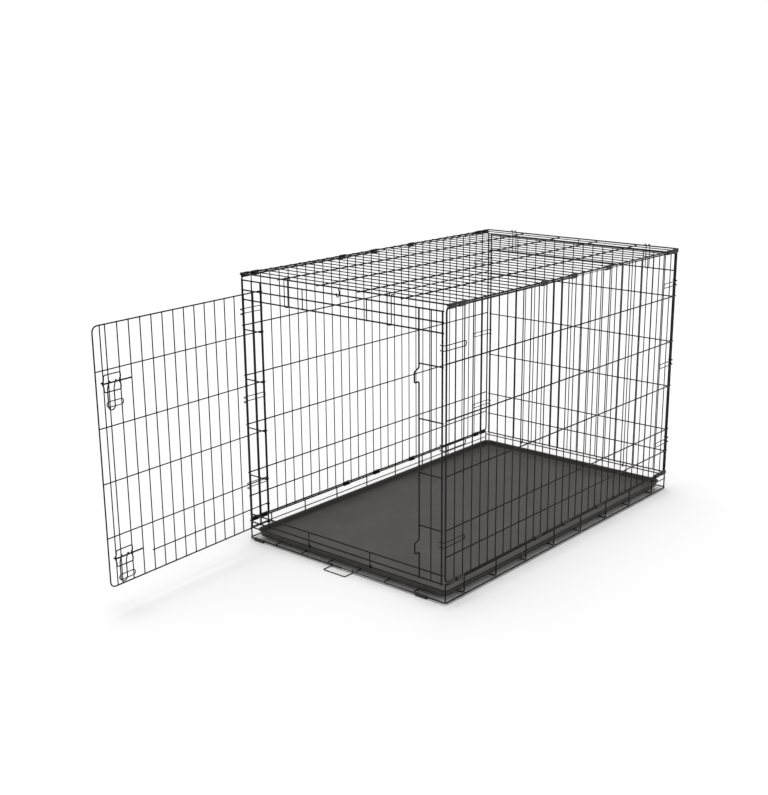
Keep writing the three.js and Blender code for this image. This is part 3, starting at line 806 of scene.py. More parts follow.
@dataclass
class SidePanel:
    """Fine-meshed side panel with hairpin hooks at both ends.

    Args:
        name: "left" or "right".
        hand: +1 for the right side and -1 for the left.
        material: Finish.
    """

    name: str
    hand: int
    material: Material
    rungs: tuple = (673.6, 521.2, 368.8, 216.4, 140.2)
    gaps: int = 32
    hooks: tuple = (716.0, 448.0, 176.0)
    hook_gap: float = 14.0
    hook_reach: float = 80.0
    corner: float = 11.0

    def build(self) -> None:
        """Make the panel."""
        half = LENGTH / 2
        pitch = LENGTH / self.gaps
        work = WireWork(self.material, at=lambda u, v, w: (self.hand * (WIDTH / 2 + w), u, v))
        self.frame(work, half)
        for z in self.rungs:
            work.level(z, -half - END_OVERHANG, half + END_OVERHANG, Gauge.RUNG)
        row = (self.gaps - 1, pitch)
        work.upright(pitch - half, SIDE_BOTTOM - 2, SIDE_TOP + 2, Gauge.FILL, row=row)
        work.weld(span(-half, pitch, self.gaps + 1), (SIDE_TOP, SIDE_BOTTOM, *self.rungs))
        for end in (-1, 1):
            for z in self.hooks:
                self.hook(work, end, z)
        work.build(f"{self.name}_side_grille", "cage", Slot.WIRE, [f"{self.name}_side_panel"])

    def frame(self, work: WireWork, half: float) -> None:
        """Add the outer frame: one rod bent at its corners, whose end posts lie a little further in."""
        rail, post = Gauge.RAIL / 2 - WELD, POST_WELD - Gauge.RAIL / 2
        corners = []
        for u, levels in ((half, (SIDE_TOP, SIDE_BOTTOM)), (-half, (SIDE_BOTTOM, SIDE_TOP))):
            inner = math.copysign(half - 2 * self.corner, u)
            start, stop = levels
            corners += [(inner, start, rail), (u, start, post), (u, stop, post), (inner, stop, rail)]
        work.wire([(0.0, SIDE_TOP, rail), *corners], Gauge.RAIL, bend=self.corner, closed=True)

    def hook(self, work: WireWork, end: int, z: float) -> None:
        """Add a hairpin whose two ends curl round the end panel's post."""
        out = LENGTH / 2
        lay = Gauge.HOOK / 2 + CLEARANCE
        half = self.hook_gap / 2
        curl = [(out + 6.5, lay), (out + 12, -3), (out + 12.3, -13), (out + 7.5, -15.2)]
        lower = [(end * u, z - half, w) for u, w in reversed(curl)]
        upper = [(end * u, z + half, w) for u, w in curl]
        bend = end * (out - self.hook_reach)
        path = [*lower, (bend, z - half, lay), (bend, z + half, lay), *upper]
        work.wire(path, Gauge.HOOK, bend=5.5)
        inner = sorted((bend + end * 4, out * end - end * 4))
        near = [u for u in span(-out, LENGTH / self.gaps, self.gaps + 1) if inner[0] < u < inner[1]]
        work.weld(near, (z - half, z + half))


@dataclass
class TopPanel:
    """Top panel: rails, stringers, a row of cross wires and a hook at each end."""

    material: Material
    gaps: int = 30
    stringers: tuple = (-229.0, -76.0, 76.0, 229.0)
    hook_place: float = 5.0

    def build(self) -> None:
        """Make the panel."""
        half = LENGTH / 2
        pitch = LENGTH / self.gaps
        rail = WIDTH / 2 + Gauge.RAIL / 2 - WELD
        work = WireWork(self.material)
        for x in (-rail, rail):
            z = ROOF_HEIGHT - Gauge.RAIL / 2
            work.wire([(x, -half - 2.5, z), (x, half + 2.5, z)], Gauge.RAIL)
        lay = ROOF_HEIGHT - Gauge.FILL / 2 - Gauge.RUNG / 2 + WELD
        for x in self.stringers:
            work.wire([(x, -half - 1.5, lay), (x, half + 1.5, lay)], Gauge.RUNG)
        reach = rail + 1.2
        for y in (-half, half):
            work.wire([(-reach, y, ROOF_HEIGHT), (reach, y, ROOF_HEIGHT)], Gauge.POST)
        first = [(-reach, pitch - half, ROOF_HEIGHT), (reach, pitch - half, ROOF_HEIGHT)]
        work.wire(first, Gauge.FILL, row=(self.gaps - 1, (0.0, pitch, 0.0)))
        work.weld((-rail, *self.stringers, rail), span(-half, pitch, self.gaps + 1), ROOF_HEIGHT - 1.6)
        for end in (-1, 1):
            self.hook(work, end)
        work.build("top_grille", "cage", Slot.WIRE, ["top_panel"])

    def hook(self, work: WireWork, end: int) -> None:
        """Add the hook that holds an end panel's top wire."""
        out = LENGTH / 2
        bends = [(0, ROOF_HEIGHT - 3), (-3, 818), (-3, 808), (0, 804), (5, 804), (8, 808), (8, 816)]
        path = [(self.hook_place, end * (out + y), z) for y, z in bends]
        work.wire(path, Gauge.HOOK, bend=3.0)
        work.weld([self.hook_place], [end * out], ROOF_HEIGHT - 2.4)


def add_hairpin(work: WireWork, x: float, foot: float, leg_gap: float = HAIRPIN_GAP) -> None:
    """Add a hairpin to an end panel: two legs that curl over the top panel's end wire.

    Args:
        work: The end panel.
        x: Place across the panel.
        foot: Height of its closed end.
        leg_gap: Distance between its legs.
    """
    lay = WELD - Gauge.HOOK / 2
    over = SIDE_TOP + RAIL_STACK + 8
    curl = [(over - 4.2, lay), (over, 1), (over, 7.5), (over - 4.2, 9.7)]
    left = [(x - leg_gap / 2, v, w) for v, w in reversed(curl)]
    right = [(x + leg_gap / 2, v, w) for v, w in curl]
    bottom = [(left[0][0], foot, lay), (right[0][0], foot, lay)]
    work.wire([*left, *bottom, *right], Gauge.HOOK, bend=4.5)


def add_eye(work: WireWork, x: float, top: float, pivot: float, gauge: float) -> None:
    """Add an upright that ends in an eye round a pivot wire.

    Args:
        work: The end panel.
        x: Place across the panel.
        top: Height that the upright starts at.
        pivot: Height of the pivot wire.
        gauge: Diameter.
    """
    lay = WELD - gauge / 2
    centre = Gauge.POST / 2 - WELD
    radius = 4.4
    loop = [(x, pivot + a, centre + b) for b, a in eye(radius, 3, 8)]
    leg = [(x, top, lay), (x, pivot + 9, lay), (x, pivot + 4, centre - radius)]
    work.wire([*leg, *loop[1:]], gauge, bend=radius)


@dataclass
class FrontPanel:
    """Front panel round the doorway, with two keeper bulges in its latch jamb."""

    material: Material
    tops: tuple = (810.0, 781.0, 753.0)
    rungs: tuple = (663.0, 512.5, 362.0, 211.5)
    sills: tuple = (84.0, 59.0)
    fill: float = 334.0
    hinge_jamb: float = -297.0
    latch_jamb: float = 293.0
    stubs: tuple = (-128.0, 112.0)
    hairpins: tuple = (-192.0, 192.0)
    bulge: float = 19.0
    pivot: float = 40.5

    def build(self) -> None:
        """Make the panel."""
        work = WireWork(self.material, at=lambda u, v, w: (u, w - END_PLANE, v))
        top, bottom = self.tops[0], self.sills[-1]
        for z in (*self.tops, *self.sills):
            work.level(z, -END_HALF - END_OVERHANG, END_HALF + END_OVERHANG, Gauge.POST)
        for z in self.rungs:
            work.level(z, -END_HALF - 2, self.hinge_jamb + 2, Gauge.RUNG)
            work.level(z, self.latch_jamb - 2, END_HALF + 2, Gauge.RUNG)
        for x in (-END_HALF, END_HALF):
            work.upright(x, bottom - END_OVERHANG, top + END_OVERHANG, Gauge.RAIL, POST_WELD)
        for x in (-self.fill, self.fill):
            work.upright(x, bottom - OVERHANG, top + OVERHANG, Gauge.FILL)
        work.upright(self.hinge_jamb, bottom - OVERHANG, top + OVERHANG, Gauge.POST, POST_WELD)
        self.keeper_jamb(work, bottom - OVERHANG, top + OVERHANG)
        for x in self.stubs:
            work.upright(x, self.tops[-1] - 2, top + 2, Gauge.FILL)
            add_eye(work, x, self.sills[0] + 2, self.pivot, Gauge.FILL)
        for x in self.hairpins:
            add_hairpin(work, x, self.tops[-1] - 2)
            work.weld((x - HAIRPIN_GAP / 2, x + HAIRPIN_GAP / 2), self.tops)
        uprights = (-END_HALF, -self.fill, self.hinge_jamb, self.latch_jamb, self.fill, END_HALF)
        work.weld(uprights, (*self.tops, *self.rungs, *self.sills))
        work.weld(self.stubs, (*self.tops, *self.sills))
        parts = ("header", "sill", "hinge_column", "latch_column", "latch_jamb")
        work.build("front_grille", "cage", Slot.WIRE, [f"front_{part}" for part in parts])

    def keeper_jamb(self, work: WireWork, bottom: float, top: float) -> None:
        """Add the latch jamb, bent outward round each bolt's tip."""
        plane = POST_WELD - Gauge.POST / 2
        path = [(self.latch_jamb, bottom, plane)]
        for z in (LATCH_HEIGHTS["lower"], LATCH_HEIGHTS["upper"]):
            for rise, out in ((-16, 0), (-16, self.bulge), (13, self.bulge), (22, 0)):
                path.append((self.latch_jamb, z + rise, plane - out))
        path.append((self.latch_jamb, top, plane))
        work.wire(path, Gauge.POST, bend=4.5)


@dataclass
class RearPanel:
    """Rear panel, which turns on the base's rear wire."""

    material: Material
    levels: tuple = (812.0, 756.0, 670.0, 518.0, 364.0, 212.0, 135.0, 60.0)
    gaps: int = 19
    eyes: tuple = (4, 15)
    hairpins: tuple = (-270.0, 270.0)
    pivot: float = 50.0

    def build(self) -> None:
        """Make the panel."""
        work = WireWork(self.material, at=lambda u, v, w: (u, END_PLANE - w, v))
        top, bottom = self.levels[0], self.levels[-1]
        pitch = 2 * END_HALF / self.gaps
        for z in self.levels:
            gauge = Gauge.POST if z in (top, bottom) else Gauge.RUNG
            work.level(z, -END_HALF - END_OVERHANG, END_HALF + END_OVERHANG, gauge)
        for x in (-END_HALF, END_HALF):
            work.upright(x, bottom - OVERHANG, top + OVERHANG, Gauge.RAIL, POST_WELD)
        groups = ((1, 3), (5, 10), (16, 3))
        for first, count in groups:
            low, high = bottom - OVERHANG, top + OVERHANG
            work.upright(first * pitch - END_HALF, low, high, Gauge.FILL, row=(count, pitch))
        for i in self.eyes:
            add_eye(work, i * pitch - END_HALF, top + 2, self.pivot, Gauge.FILL)
        for x in self.hairpins:
            add_hairpin(work, x, self.levels[1] - 2)
            work.weld((x - HAIRPIN_GAP / 2, x + HAIRPIN_GAP / 2), self.levels[:2])
        work.weld(span(-END_HALF, pitch, self.gaps + 1), self.levels)
        work.build("rear_grille", "rear_panel", Slot.WIRE, ["rear_panel"])


@dataclass
class Base:
    """Ground ring, floor grid, side upstands and the wires that the end panels turn on."""

    material: Material
    middle: float = 39.0
    bars: tuple = (-272.0, 108.8, 6)
    crosses: tuple = (-524.0, 149.7, 8)
    pivots: tuple = (40.5, 50.0)

    def build(self) -> None:
        """Make the base."""
        work = WireWork(self.material)
        rail = WIDTH / 2 + Gauge.POST / 2 - WELD
        corners = [(-rail, -BASE_END), (rail, -BASE_END), (rail, BASE_END), (-rail, BASE_END)]
        ring = [(x, y, RING_HEIGHT) for x, y in corners]
        work.wire([(0, -BASE_END, RING_HEIGHT), *ring[1:], ring[0]], Gauge.POST, bend=7.0, closed=True)
        bar_height = RING_HEIGHT + Gauge.POST / 2 + Gauge.FILL / 2 - WELD
        first, pitch, count = self.bars
        bar = [(first, -BASE_END - 1.2, bar_height), (first, BASE_END + 1.2, bar_height)]
        work.wire(bar, Gauge.FILL, row=(count, (pitch, 0.0, 0.0)))
        work.weld(span(first, pitch, count), (-BASE_END, BASE_END), RING_HEIGHT + 2)
        post = WIDTH / 2 + POST_WELD - Gauge.POST / 2
        for end, pivot in zip((-1, 1), self.pivots):
            work.wire([(-post, end * BASE_END, pivot), (post, end * BASE_END, pivot)], Gauge.RUNG)
        self.cross_wires(work, rail, bar_height)
        for hand in (-1, 1):
            self.upstand(work, hand)
        parts = ["base_floor", "base_left_upstand", "base_right_upstand", "base_front_wire", "base_rear_wire"]
        work.build("base_grille", "cage", Slot.WIRE, parts)

    def cross_wires(self, work: WireWork, rail: float, bar_height: float) -> None:
        """Add the wires across the floor, bent up at both ends along the upstands."""
        first, pitch, count = self.crosses
        height = bar_height - Gauge.FILL / 2 - Gauge.RUNG / 2 + WELD
        side = rail - Gauge.POST / 2 - Gauge.RUNG / 2 + WELD
        top = SIDE_BOTTOM - RAIL_STACK + 2
        path = [(-side, first, top), (-side, first, height), (side, first, height), (side, first, top)]
        work.wire(path, Gauge.RUNG, bend=6.0, row=(count, (0.0, pitch, 0.0)))
        first_bar, bar_pitch, bars = self.bars
        work.weld(span(first_bar, bar_pitch, bars), span(first, pitch, count), height + 2)

    def upstand(self, work: WireWork, hand: int) -> None:
        """Add the low grille along one side that the side panel is clipped to."""
        half = LENGTH / 2
        top = SIDE_BOTTOM - RAIL_STACK
        x = hand * (WIDTH / 2 + Gauge.POST / 2 - WELD)
        work.wire([(x, -half - OVERHANG, top), (x, half + OVERHANG, top)], Gauge.POST)
        middle = hand * (WIDTH / 2 + Gauge.FILL / 2 - WELD)
        ends = [(middle, end * (half + OVERHANG), self.middle) for end in (-1, 1)]
        work.wire(ends, Gauge.FILL)
        post = hand * (WIDTH / 2 + POST_WELD - Gauge.POST / 2)
        for y in (-half, half):
            work.wire([(post, y, RING_HEIGHT), (post, y, top + 2)], Gauge.POST)
        first, pitch, count = self.crosses
        places = (-half, *span(first, pitch, count), half)
        work.weld([hand * WIDTH / 2], places, top)
        work.weld([hand * WIDTH / 2], places, self.middle)


HINGE = Vector((-297.0, -END_PLANE + POST_WELD - Gauge.POST / 2, 0.0))
DOOR_OPEN = math.radians(-86.8)
DOOR_SEAT = SEAT @ Matrix.Translation(HINGE) @ Matrix.Rotation(DOOR_OPEN, 4, "Z")
DOOR_PLANE = 6.3
LATCH_FACE = DOOR_PLANE - WELD + Gauge.FILL + CLEARANCE


@dataclass
class Door:
    """Door grille: x runs from the hinge to the free edge and -y is the outer face."""

    material: Material
    width: float = 607.5
    top: float = 786.0
    bottom: float = 78.5
    rungs: tuple = (668.0, 517.5, 367.5, 217.0)
    half_rung: float = 137.0
    half_rung_end: float = 456.0
    first_wire: float = 22.8
    pitch: float = 38.65
    wires: int = 15
    extra_wire: float = 581.0
    corner: float = 16.0
    keeper_span: tuple = (517.0, 572.0)
    keeper_height: float = 15.0
    keeper_drop: float = 56.0

    def build(self) -> None:
        """Make the door leaf."""
        work = WireWork(self.material, DOOR_SEAT, lambda u, v, w: (u, w - DOOR_PLANE, v))
        lay = Gauge.RUNG / 2 - WELD
        rung_lay = Gauge.DOOR_RUNG / 2 - WELD
        axis = DOOR_PLANE
        curl = [(a, axis + b) for a, b in eye(axis - lay, 4, 0)]
        frame = [(a, self.top, w) for a, w in reversed(curl)]
        frame += [(self.width, self.top, lay), (self.width, self.bottom, lay)]
        frame += [(a, self.bottom, w) for a, w in curl]
        work.wire(frame, Gauge.RUNG, bend=self.corner)
        for z, end in [*((z, self.width) for z in self.rungs), (self.half_rung, self.half_rung_end)]:
            loop = [(a, z, axis + b) for a, b in eye(axis - rung_lay, 4, 0)]
            work.wire([(end, z, rung_lay), *loop], Gauge.DOOR_RUNG, bend=axis - rung_lay)
        low, high = self.bottom - 1.5, self.top + 1.5
        work.upright(self.first_wire, low, high, Gauge.FILL, row=(self.wires, self.pitch))
        work.upright(self.extra_wire, low, high, Gauge.FILL)
        places = [*span(self.first_wire, self.pitch, self.wires), self.extra_wire]
        work.weld(places, (self.top, *self.rungs, self.bottom))
        work.weld([u for u in places if u < self.half_rung_end], [self.half_rung])
        work.weld([self.width], self.rungs, rung_lay)
        for height in LATCH_HEIGHTS.values():
            self.keeper(work, height - self.keeper_drop)
        work.build("door_grille", "door", Slot.WIRE, ["door"])

    def keeper(self, work: WireWork, level: float) -> None:
        """Add the oval loop that a latch's handle drops over."""
        out = 2 * WELD - Gauge.FILL - Gauge.HOOK / 2
        left, right = self.keeper_span
        low, high = level - self.keeper_height / 2, level + self.keeper_height / 2
        middle = (left + right) / 2
        corners = [(middle, high), (right, high), (right, low), (left, low), (left, high)]
        work.wire([(u, v, out) for u, v in corners], Gauge.HOOK, bend=7.4, closed=True)
        work.weld(LATCH_WIRES, (low, high), WELD - Gauge.FILL)


@dataclass
class Latch:
    """Slide-bolt latch: bolt, drop handle and guide loop.

    Args:
        name: "upper" or "lower".
        height: Height of its bolt.
        wire: Finish of the fixed loops.
        rubbed: Finish of the bolt and its handle.
    """

    name: str
    height: float
    wire: Material
    rubbed: Material
    bolt_ends: tuple = (484.0, 574.0)
    tip: tuple = (586.0, 4.0)
    guide: tuple = (521.0, 577.0)
    guide_reach: float = 23.0
    guide_bump: float = 6.0
    handle: tuple = (534.0, 556.0)
    handle_drop: float = 77.0
    handle_proud: float = 12.0

    def build(self) -> None:
        """Make the latch's three pieces."""
        bolt_out = LATCH_FACE + Gauge.BOLT / 2
        proud = bolt_out + Gauge.BOLT / 2 + CLEARANCE + Gauge.HOOK / 2
        self.make_bolt(bolt_out)
        self.make_handle(bolt_out, proud)
        self.make_guide(proud)

    def work(self, material: Material) -> WireWork:
        """Return a bench whose (x, dz, out) are seated on the door at the bolt's height."""
        return WireWork(material, DOOR_SEAT, lambda x, dz, out: (x, -out, self.height + dz))

    def make_bolt(self, out: float) -> None:
        """Make the bolt with its tip bent up and a drawn stop at its other end."""
        work = self.work(self.rubbed)
        start, end = self.bolt_ends
        tip, rise = self.tip
        work.wire([(start, 0, out), (end, 0, out), (tip, rise, out)], Gauge.BOLT, bend=8.0)
        name = f"{self.name}_bolt"
        work.build(f"{name}_wire", name, Slot.LATCH, [name])

    def make_handle(self, bolt_out: float, root: float) -> None:
        """Make the U-shaped handle, whose two ends curl over the bolt."""
        work = self.work(self.rubbed)
        left, right = self.handle
        proud = bolt_out + self.handle_proud
        grip = root - bolt_out
        path = []
        for x, order in ((right, 1), (left, -1)):
            leg = [(grip, bolt_out - 0.5), (grip, root), (-20, proud), (-self.handle_drop, proud)]
            path += [(x, dz, out) for dz, out in leg[::order]]
        work.wire(path, Gauge.DOOR_RUNG, bend=(right - left) / 2 - 0.5)
        body = f"{self.name}_handle"
        work.build(f"{body}_wire", body, Slot.LATCH, [f"{self.name}_bolt_handle"])

    def make_guide(self, proud: float) -> None:
        """Make the loop that steps out over the bolt at both ends."""
        work = self.work(self.wire)
        flat = LATCH_FACE + Gauge.HOOK / 2
        bump, reach = self.guide_bump, self.guide_reach
        half = [(reach, flat), (bump + 3, flat), (bump - 1, proud)]
        side = half + [(-dz, out) for dz, out in reversed(half)]
        left, right = self.guide
        path = [(right, dz, out) for dz, out in side] + [(left, dz, out) for dz, out in reversed(side)]
        middle = ((left + right) / 2, reach, flat)
        work.wire([middle, *path], Gauge.DOOR_RUNG, bend=6.0, closed=True)
        work.weld(LATCH_WIRES, (-reach, reach), LATCH_FACE)
        work.build(f"{self.name}_guide_wire", "door", Slot.WIRE, [f"{self.name}_bolt_guide"], bead=1.5)


@dataclass
class PanStop:
    """Bail on the ground ring that keeps the pan in; it lies folded down in front."""

    material: Material
    half: float = 42.0
    reach: float = 34.0
    radius: float = 4.0

    def build(self) -> None:
        """Make the bail."""
        seat = SEAT @ Matrix.Translation((0.0, -BASE_END, RING_HEIGHT)) @ Matrix.Rotation(math.pi / 2, 4, "X")
        work = WireWork(self.material, seat)
        path = []
        for x, order in ((-self.half, 1), (self.half, -1)):
            curl = [(x, -self.radius * math.cos(t), -self.radius * math.sin(t)) for t in self.turns()]
            path += [*curl, (x, -self.radius, self.reach)][::order]
        work.wire(path, Gauge.HOOK, bend=self.radius)
        work.build("pan_stop_wire", "pan_stop", Slot.WIRE, ["pan_stop"])

    @staticmethod
    def turns() -> list[float]:
        """Angles of the curl's points, from its free end to the leg."""
        return [math.radians(angle) for angle in range(270, -1, -30)]


# ---- the crate's moulded parts ----


def rounded_rectangle(
    half_x: float, half_y: float, radius: float, arc: int, straight: tuple[int, int]
) -> list:
    """Points round a rectangle with rounded corners.

    Args:
        half_x: Half its width.
        half_y: Half its length.
        radius: Corner radius.
        arc: Steps in each corner.
        straight: Steps along an end and along a side.

    Returns:
        The points, anticlockwise.
    """
    points = []
    for corner in range(4):
        turn = corner * math.pi / 2
        sx = 1 if corner in (0, 3) else -1
        sy = 1 if corner in (0, 1) else -1
        centre = Vector((sx * (half_x - radius), sy * (half_y - radius)))
        for i in range(arc + 1):
            angle = turn + i * math.pi / 2 / arc
            points.append(centre + radius * Vector((math.cos(angle), math.sin(angle))))
        ahead = Vector((-sx, sy)) if corner in (0, 2) else Vector((sx, -sy))
        other = Vector((ahead.x * (half_x - radius), ahead.y * (half_y - radius)))
        last = turn + math.pi / 2
        reach = other + radius * Vector((math.cos(last), math.sin(last)))
        steps = straight[corner % 2]
        start = points[-1]
        points += [start.lerp(reach, i / steps) for i in range(1, steps)]
    return points


@dataclass
class Pan:
    """Shallow floor pan, vacuum-formed with a rolled rim and a groove round its floor."""

    material: Material
    half_width: float = 372.0
    half_length: float = 603.0
    corner: float = 26.0
    sag: float = 0.35
    profile: tuple = (
        (300.0, 12.0), (60.0, 12.0), (12.0, 12.0), (9.2, 12.3), (7.9, 13.4), (6.0, 20.0),
        (4.4, 26.6), (3.9, 28.4), (2.9, 29.3), (1.2, 29.4), (0.3, 30.0), (0.0, 31.3),
        (0.3, 32.5), (1.2, 33.3), (2.4, 33.5), (4.2, 33.3), (5.6, 32.4), (6.4, 30.8),
        (7.6, 26.0), (9.0, 20.0), (10.2, 16.8), (11.4, 15.4), (13.4, 14.5), (16.0, 14.4),
        (22.0, 14.4), (23.6, 13.9), (25.4, 13.5), (29.6, 13.5), (31.4, 13.9), (33.0, 14.4),
        (40.0, 14.4),
    )
    floor_steps: tuple = (60.0, 90.0, 125.0, 165.0, 210.0, 255.0, 300.0, 340.0, 366.0)

    def ring(self, inset: float, height: float) -> list:
        """Return one ring of the pan's surface."""
        radius = max(self.corner - inset, 2.0)
        flat = rounded_rectangle(self.half_width - inset, self.half_length - inset, radius, 8, (18, 28))
        return [(p.x, p.y, height) for p in flat]

    def build(self) -> None:
        """Make the pan."""
        rings = [self.ring(inset, z) for inset, z in self.profile]
        for inset in self.floor_steps:
            fade = min(1.0, (inset - 40.0) / 60.0)
            loop = self.ring(inset, PAN_FLOOR_HEIGHT)
            rings.append([(x, y, z + fade * self.wave(x, y)) for x, y, z in loop])
        mesh = loft(rings, "pan")
        mesh.materials.append(self.material)
        rims = [f"pan_{edge}_rim" for edge in ("front", "rear", "left", "right")]
        show(merge_meshes([mesh], SEAT, "pan_tray"), "pan", ["pan", *rims])

    def wave(self, x: float, y: float) -> float:
        """Return how far the floor stands off flat, as thin moulded sheet does."""
        return self.sag * noise.noise(Vector((x / 170.0, y / 210.0, 3.0)))


def loft(sections: Sequence[Sequence[Sequence[float]]], name: str) -> Mesh:
    """Make a closed solid through equal sections.

    Args:
        sections: Points of each section, all with the same count.
        name: Name of the mesh.

    Returns:
        The mesh.
    """
    form = bmesh.new()
    loops = [[form.verts.new(point) for point in section] for section in sections]
    for first, second in zip(loops, loops[1:]):
        for i, corner in enumerate(first):
            after = (i + 1) % len(first)
            form.faces.new((corner, first[after], second[after], second[i]))
    form.faces.new(loops[0])
    form.faces.new(loops[-1])
    bmesh.ops.recalc_face_normals(form, faces=form.faces)
    for face in form.faces:
        face.smooth = True
    mesh = bpy.data.meshes.new(name)
    form.to_mesh(mesh)
    form.free()
    return mesh


@dataclass
class ClipRow:
    """Row of moulded clips that wrap two rails and let them hinge.

    Args:
        side: "left" or "right".
        hand: +1 for the right side and -1 for the left.
        edge: "top" or "base".
        height: Height between the two rails.
        material: Finish.
    """

    side: str
    hand: int
    edge: str
    height: float
    material: Material
    places: tuple = (19.0, 58.5, 438.0, 590.0, 781.0, 1160.5, 1200.0)
    length: float = 31.0
    wall: float = 1.4
    rail: float = 383.2

    def section(self, grow: float) -> list:
        """Return the clip's C-section as (out, up), with its outer skin grown."""
        inner = Gauge.RAIL / 2 + CLEARANCE
        outer = inner + self.wall + grow
        rise = RAIL_STACK / 2
        mouth = math.radians(38)
        skin = []
        for radius, way in ((outer, 1), (inner, -1)):
            arc = []
            for step in range(9):
                angle = math.pi - mouth - step * (math.pi - mouth) / 8
                arc.append((radius * math.cos(angle), rise + radius * math.sin(angle)))
            arc += [(x, -y) for x, y in reversed(arc)]
            skin += arc[::way]
        return skin

    def build(self) -> None:
        """Make the row."""
        half = self.length / 2
        sizes = [(-half, -0.7), (0.4 - half, -0.25), (1.0 - half, 0.0)]
        for centre in (-9.0, 0.0, 9.0):
            sizes += [(centre - 2.6, 0.0), (centre - 2.0, 0.55), (centre + 2.0, 0.55), (centre + 2.6, 0.0)]
        sizes += [(half - 1.0, 0.0), (half - 0.4, -0.25), (half, -0.7)]
        sections = [[(self.hand * out, y, up) for out, up in self.section(grow)] for y, grow in sizes]
        part = bpy.data.objects.new("one_clip", loft(sections, "one_clip"))
        places = bpy.data.meshes.new("places")
        spots = [(self.hand * self.rail, place - LENGTH / 2, self.height) for place in self.places]
        places.from_pydata(spots, [], [])
        mesh = Maker.PART_ROW.run(places, Part=part, Finish=self.material)
        bpy.data.objects.remove(part)
        name = f"{self.side}_{self.edge}"
        nodes = [f"{name}_clip_{i}" for i in range(1, len(self.places) + 1)]
        show(merge_meshes([mesh], SEAT, f"{name}_clips"), "cage", nodes)


@dataclass
class FootPair:
    """Two rubber sleeves on one end of the ground ring.

    Args:
        name: "front" or "rear".
        end: -1 for the front and +1 for the rear.
        material: Finish.
    """

    name: str
    end: int
    material: Material
    centres: tuple = (-344.5, 297.0)
    length: float = 41.0

    def section(self, grow: float) -> list:
        """Return the sleeve's section: a rounded body with a flat tread."""
        outer = []
        for step in range(16):
            angle = math.pi / 2 + step * math.pi / 8
            y = (5.3 + grow) * math.cos(angle)
            z = 5.3 + (5.1 + grow) * math.sin(angle)
            outer.append((y, max(z, 0.9 if abs(y) > 3.4 else 0.0)))
        return outer

    def build(self) -> None:
        """Make the pair."""
        half = self.length / 2
        sizes = [(-half, -1.2), (0.5 - half, -0.5), (1.4 - half, 0.0)]
        for centre in (-12.0, -6.0, 0.0, 6.0, 12.0):
            sizes += [(centre - 1.0, 0.0), (centre - 0.5, -0.35), (centre + 0.5, -0.35), (centre + 1.0, 0.0)]
        sizes += [(half - 1.4, 0.0), (half - 0.5, -0.5), (half, -1.2)]
        sections = [[(x, y, z) for y, z in self.section(grow)] for x, grow in sizes]
        part = bpy.data.objects.new("one_foot", loft(sections, "one_foot"))
        places = bpy.data.meshes.new("places")
        places.from_pydata([(x, self.end * BASE_END, 0.0) for x in self.centres], [], [])
        mesh = Maker.PART_ROW.run(places, Part=part, Finish=self.material)
        bpy.data.objects.remove(part)
        nodes = [f"{self.name}_foot_{side}" for side in ("left", "right")]
        show(merge_meshes([mesh], SEAT, f"{self.name}_feet"), "cage", nodes)


# ---- the studio ----


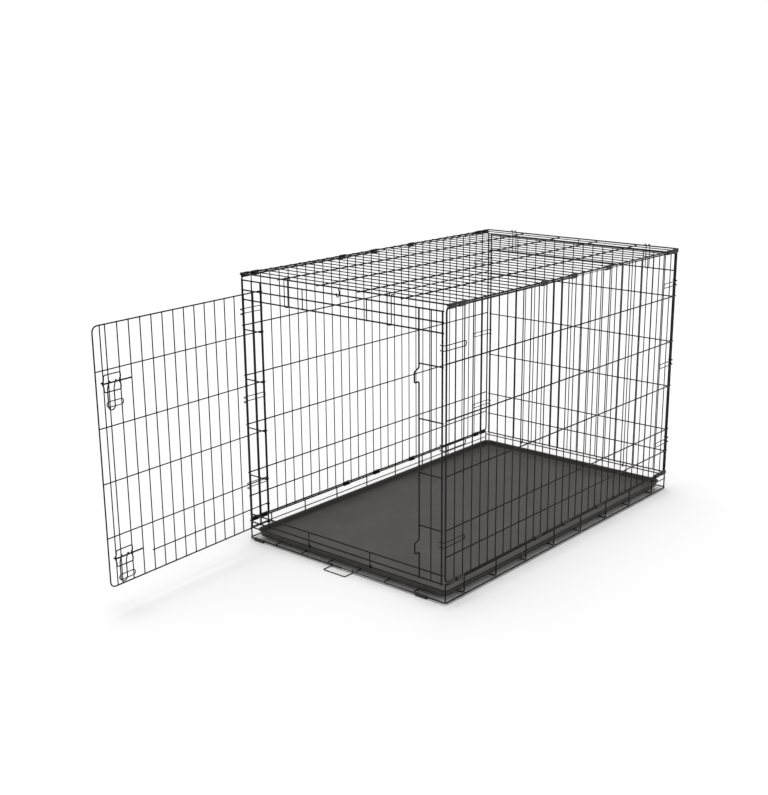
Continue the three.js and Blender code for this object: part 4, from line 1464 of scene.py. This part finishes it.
@dataclass
class Studio:
    """Pale floor, soft light and the camera."""

    floor_colour: tuple = (0.94, 0.94, 0.94, 1.0)
    sky: float = 1.05
    sky_light: float = 0.5
    lamp_power: float = 2.05
    lamp_spread: float = 55.0
    lamp_aim: tuple = (0.18, -0.1, -1.0)
    place: tuple = (2.27148, -3.03323, 1.41141)
    azimuth: float = 39.862
    elevation: float = 15.929
    roll: float = -0.219
    focal: float = 55.77
    shift: tuple = (-0.0292, 0.0169)

    def build(self) -> None:
        """Make floor, world, lights and camera."""
        self.make_floor()
        self.make_light()
        self.make_camera()

    def make_floor(self) -> None:
        """Make the floor, at the height that the feet stand on."""
        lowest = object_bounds()[0].z
        size = 60.0
        mesh = bpy.data.meshes.new("studio_floor")
        corners = [(-size, -size, lowest), (size, -size, lowest), (size, size, lowest), (-size, size, lowest)]
        mesh.from_pydata(corners, [], [(0, 1, 2, 3)])
        material, tree, shader = new_material("Studio paper")
        cloud = speckle(tree, 1.5)
        pale = tuple(0.985 * part for part in self.floor_colour[:3]) + (1.0,)
        dress(tree, shader, {"Base Color": mix_colour(tree, cloud.outputs[0], self.floor_colour, pale)})
        shader.inputs["Roughness"].default_value = 0.9
        shader.inputs["Specular IOR Level"].default_value = 0.1
        mesh.materials.append(material)
        floor = bpy.data.objects.new("studio_floor", mesh)
        bpy.context.scene.collection.objects.link(floor)
        floor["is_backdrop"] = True

    def make_light(self) -> None:
        """Make an even white sky, dimmer than it looks, and a broad soft lamp overhead."""
        scene = bpy.context.scene
        scene.view_settings.view_transform = "Standard"
        world = bpy.data.worlds.new("Studio sky")
        world.use_nodes = True
        tree = world.node_tree
        seen = add(tree, "ShaderNodeLightPath").outputs["Is Camera Ray"]
        levels = {0: seen, 2: self.sky_light, 3: self.sky}
        strength = add(tree, "ShaderNodeMix", levels, data_type="FLOAT").outputs[0]
        sky = tree.nodes["Background"]
        sky.inputs["Color"].default_value = (1.0, 1.0, 1.0, 1.0)
        tree.links.new(strength, sky.inputs["Strength"])
        scene.world = world
        lamp = bpy.data.lights.new("overhead_softbox", "SUN")
        lamp.angle = math.radians(self.lamp_spread)
        lamp.energy = self.lamp_power
        holder = bpy.data.objects.new("overhead_softbox", lamp)
        holder.rotation_euler = Vector(self.lamp_aim).to_track_quat("-Z", "Y").to_euler()
        scene.collection.objects.link(holder)

    def make_camera(self) -> None:
        """Make the camera."""
        turn, tilt, roll = (math.radians(angle) for angle in (self.azimuth, self.elevation, self.roll))
        ahead = Vector((-math.sin(turn) * math.cos(tilt), math.cos(turn) * math.cos(tilt), -math.sin(tilt)))
        right = Vector((math.cos(turn), math.sin(turn), 0.0))
        up = right.cross(ahead)
        across = math.cos(roll) * right + math.sin(roll) * up
        upward = math.cos(roll) * up - math.sin(roll) * right
        data = bpy.data.cameras.new("camera")
        data.lens = self.focal
        data.sensor_width = 36.0
        data.shift_x, data.shift_y = self.shift
        data.clip_end = 200.0
        camera = bpy.data.objects.new("camera", data)
        basis = Matrix((across, upward, -ahead)).transposed().to_4x4()
        camera.matrix_world = Matrix.Translation(self.place) @ basis
        bpy.context.scene.collection.objects.link(camera)
        bpy.context.scene.camera = camera


def main() -> None:
    """Build the crate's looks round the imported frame."""
    logging.basicConfig(level=logging.INFO, format="%(message)s")
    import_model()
    wire, latch = WIRE_FINISH.build(), LATCH_FINISH.build()
    clip = CLIP_FINISH.build()
    foot = FOOT_FINISH.build()
    parts: list = [Base(wire), SidePanel("left", -1, wire), SidePanel("right", 1, wire)]
    parts += [TopPanel(wire), FrontPanel(wire), RearPanel(wire), Pan(PAN_FINISH.build())]
    for side, hand in (("left", -1), ("right", 1)):
        parts.append(ClipRow(side, hand, "top", SIDE_TOP + RAIL_STACK / 2, clip))
        parts.append(ClipRow(side, hand, "base", SIDE_BOTTOM - RAIL_STACK / 2, clip))
    parts += [FootPair("front", -1, foot), FootPair("rear", 1, foot)]
    parts += [PanStop(wire), Door(wire)]
    parts += [Latch(name, height, wire, latch) for name, height in LATCH_HEIGHTS.items()]
    for part in parts:
        part.build()
    Studio().build()


if __name__ == "__main__":
    main()
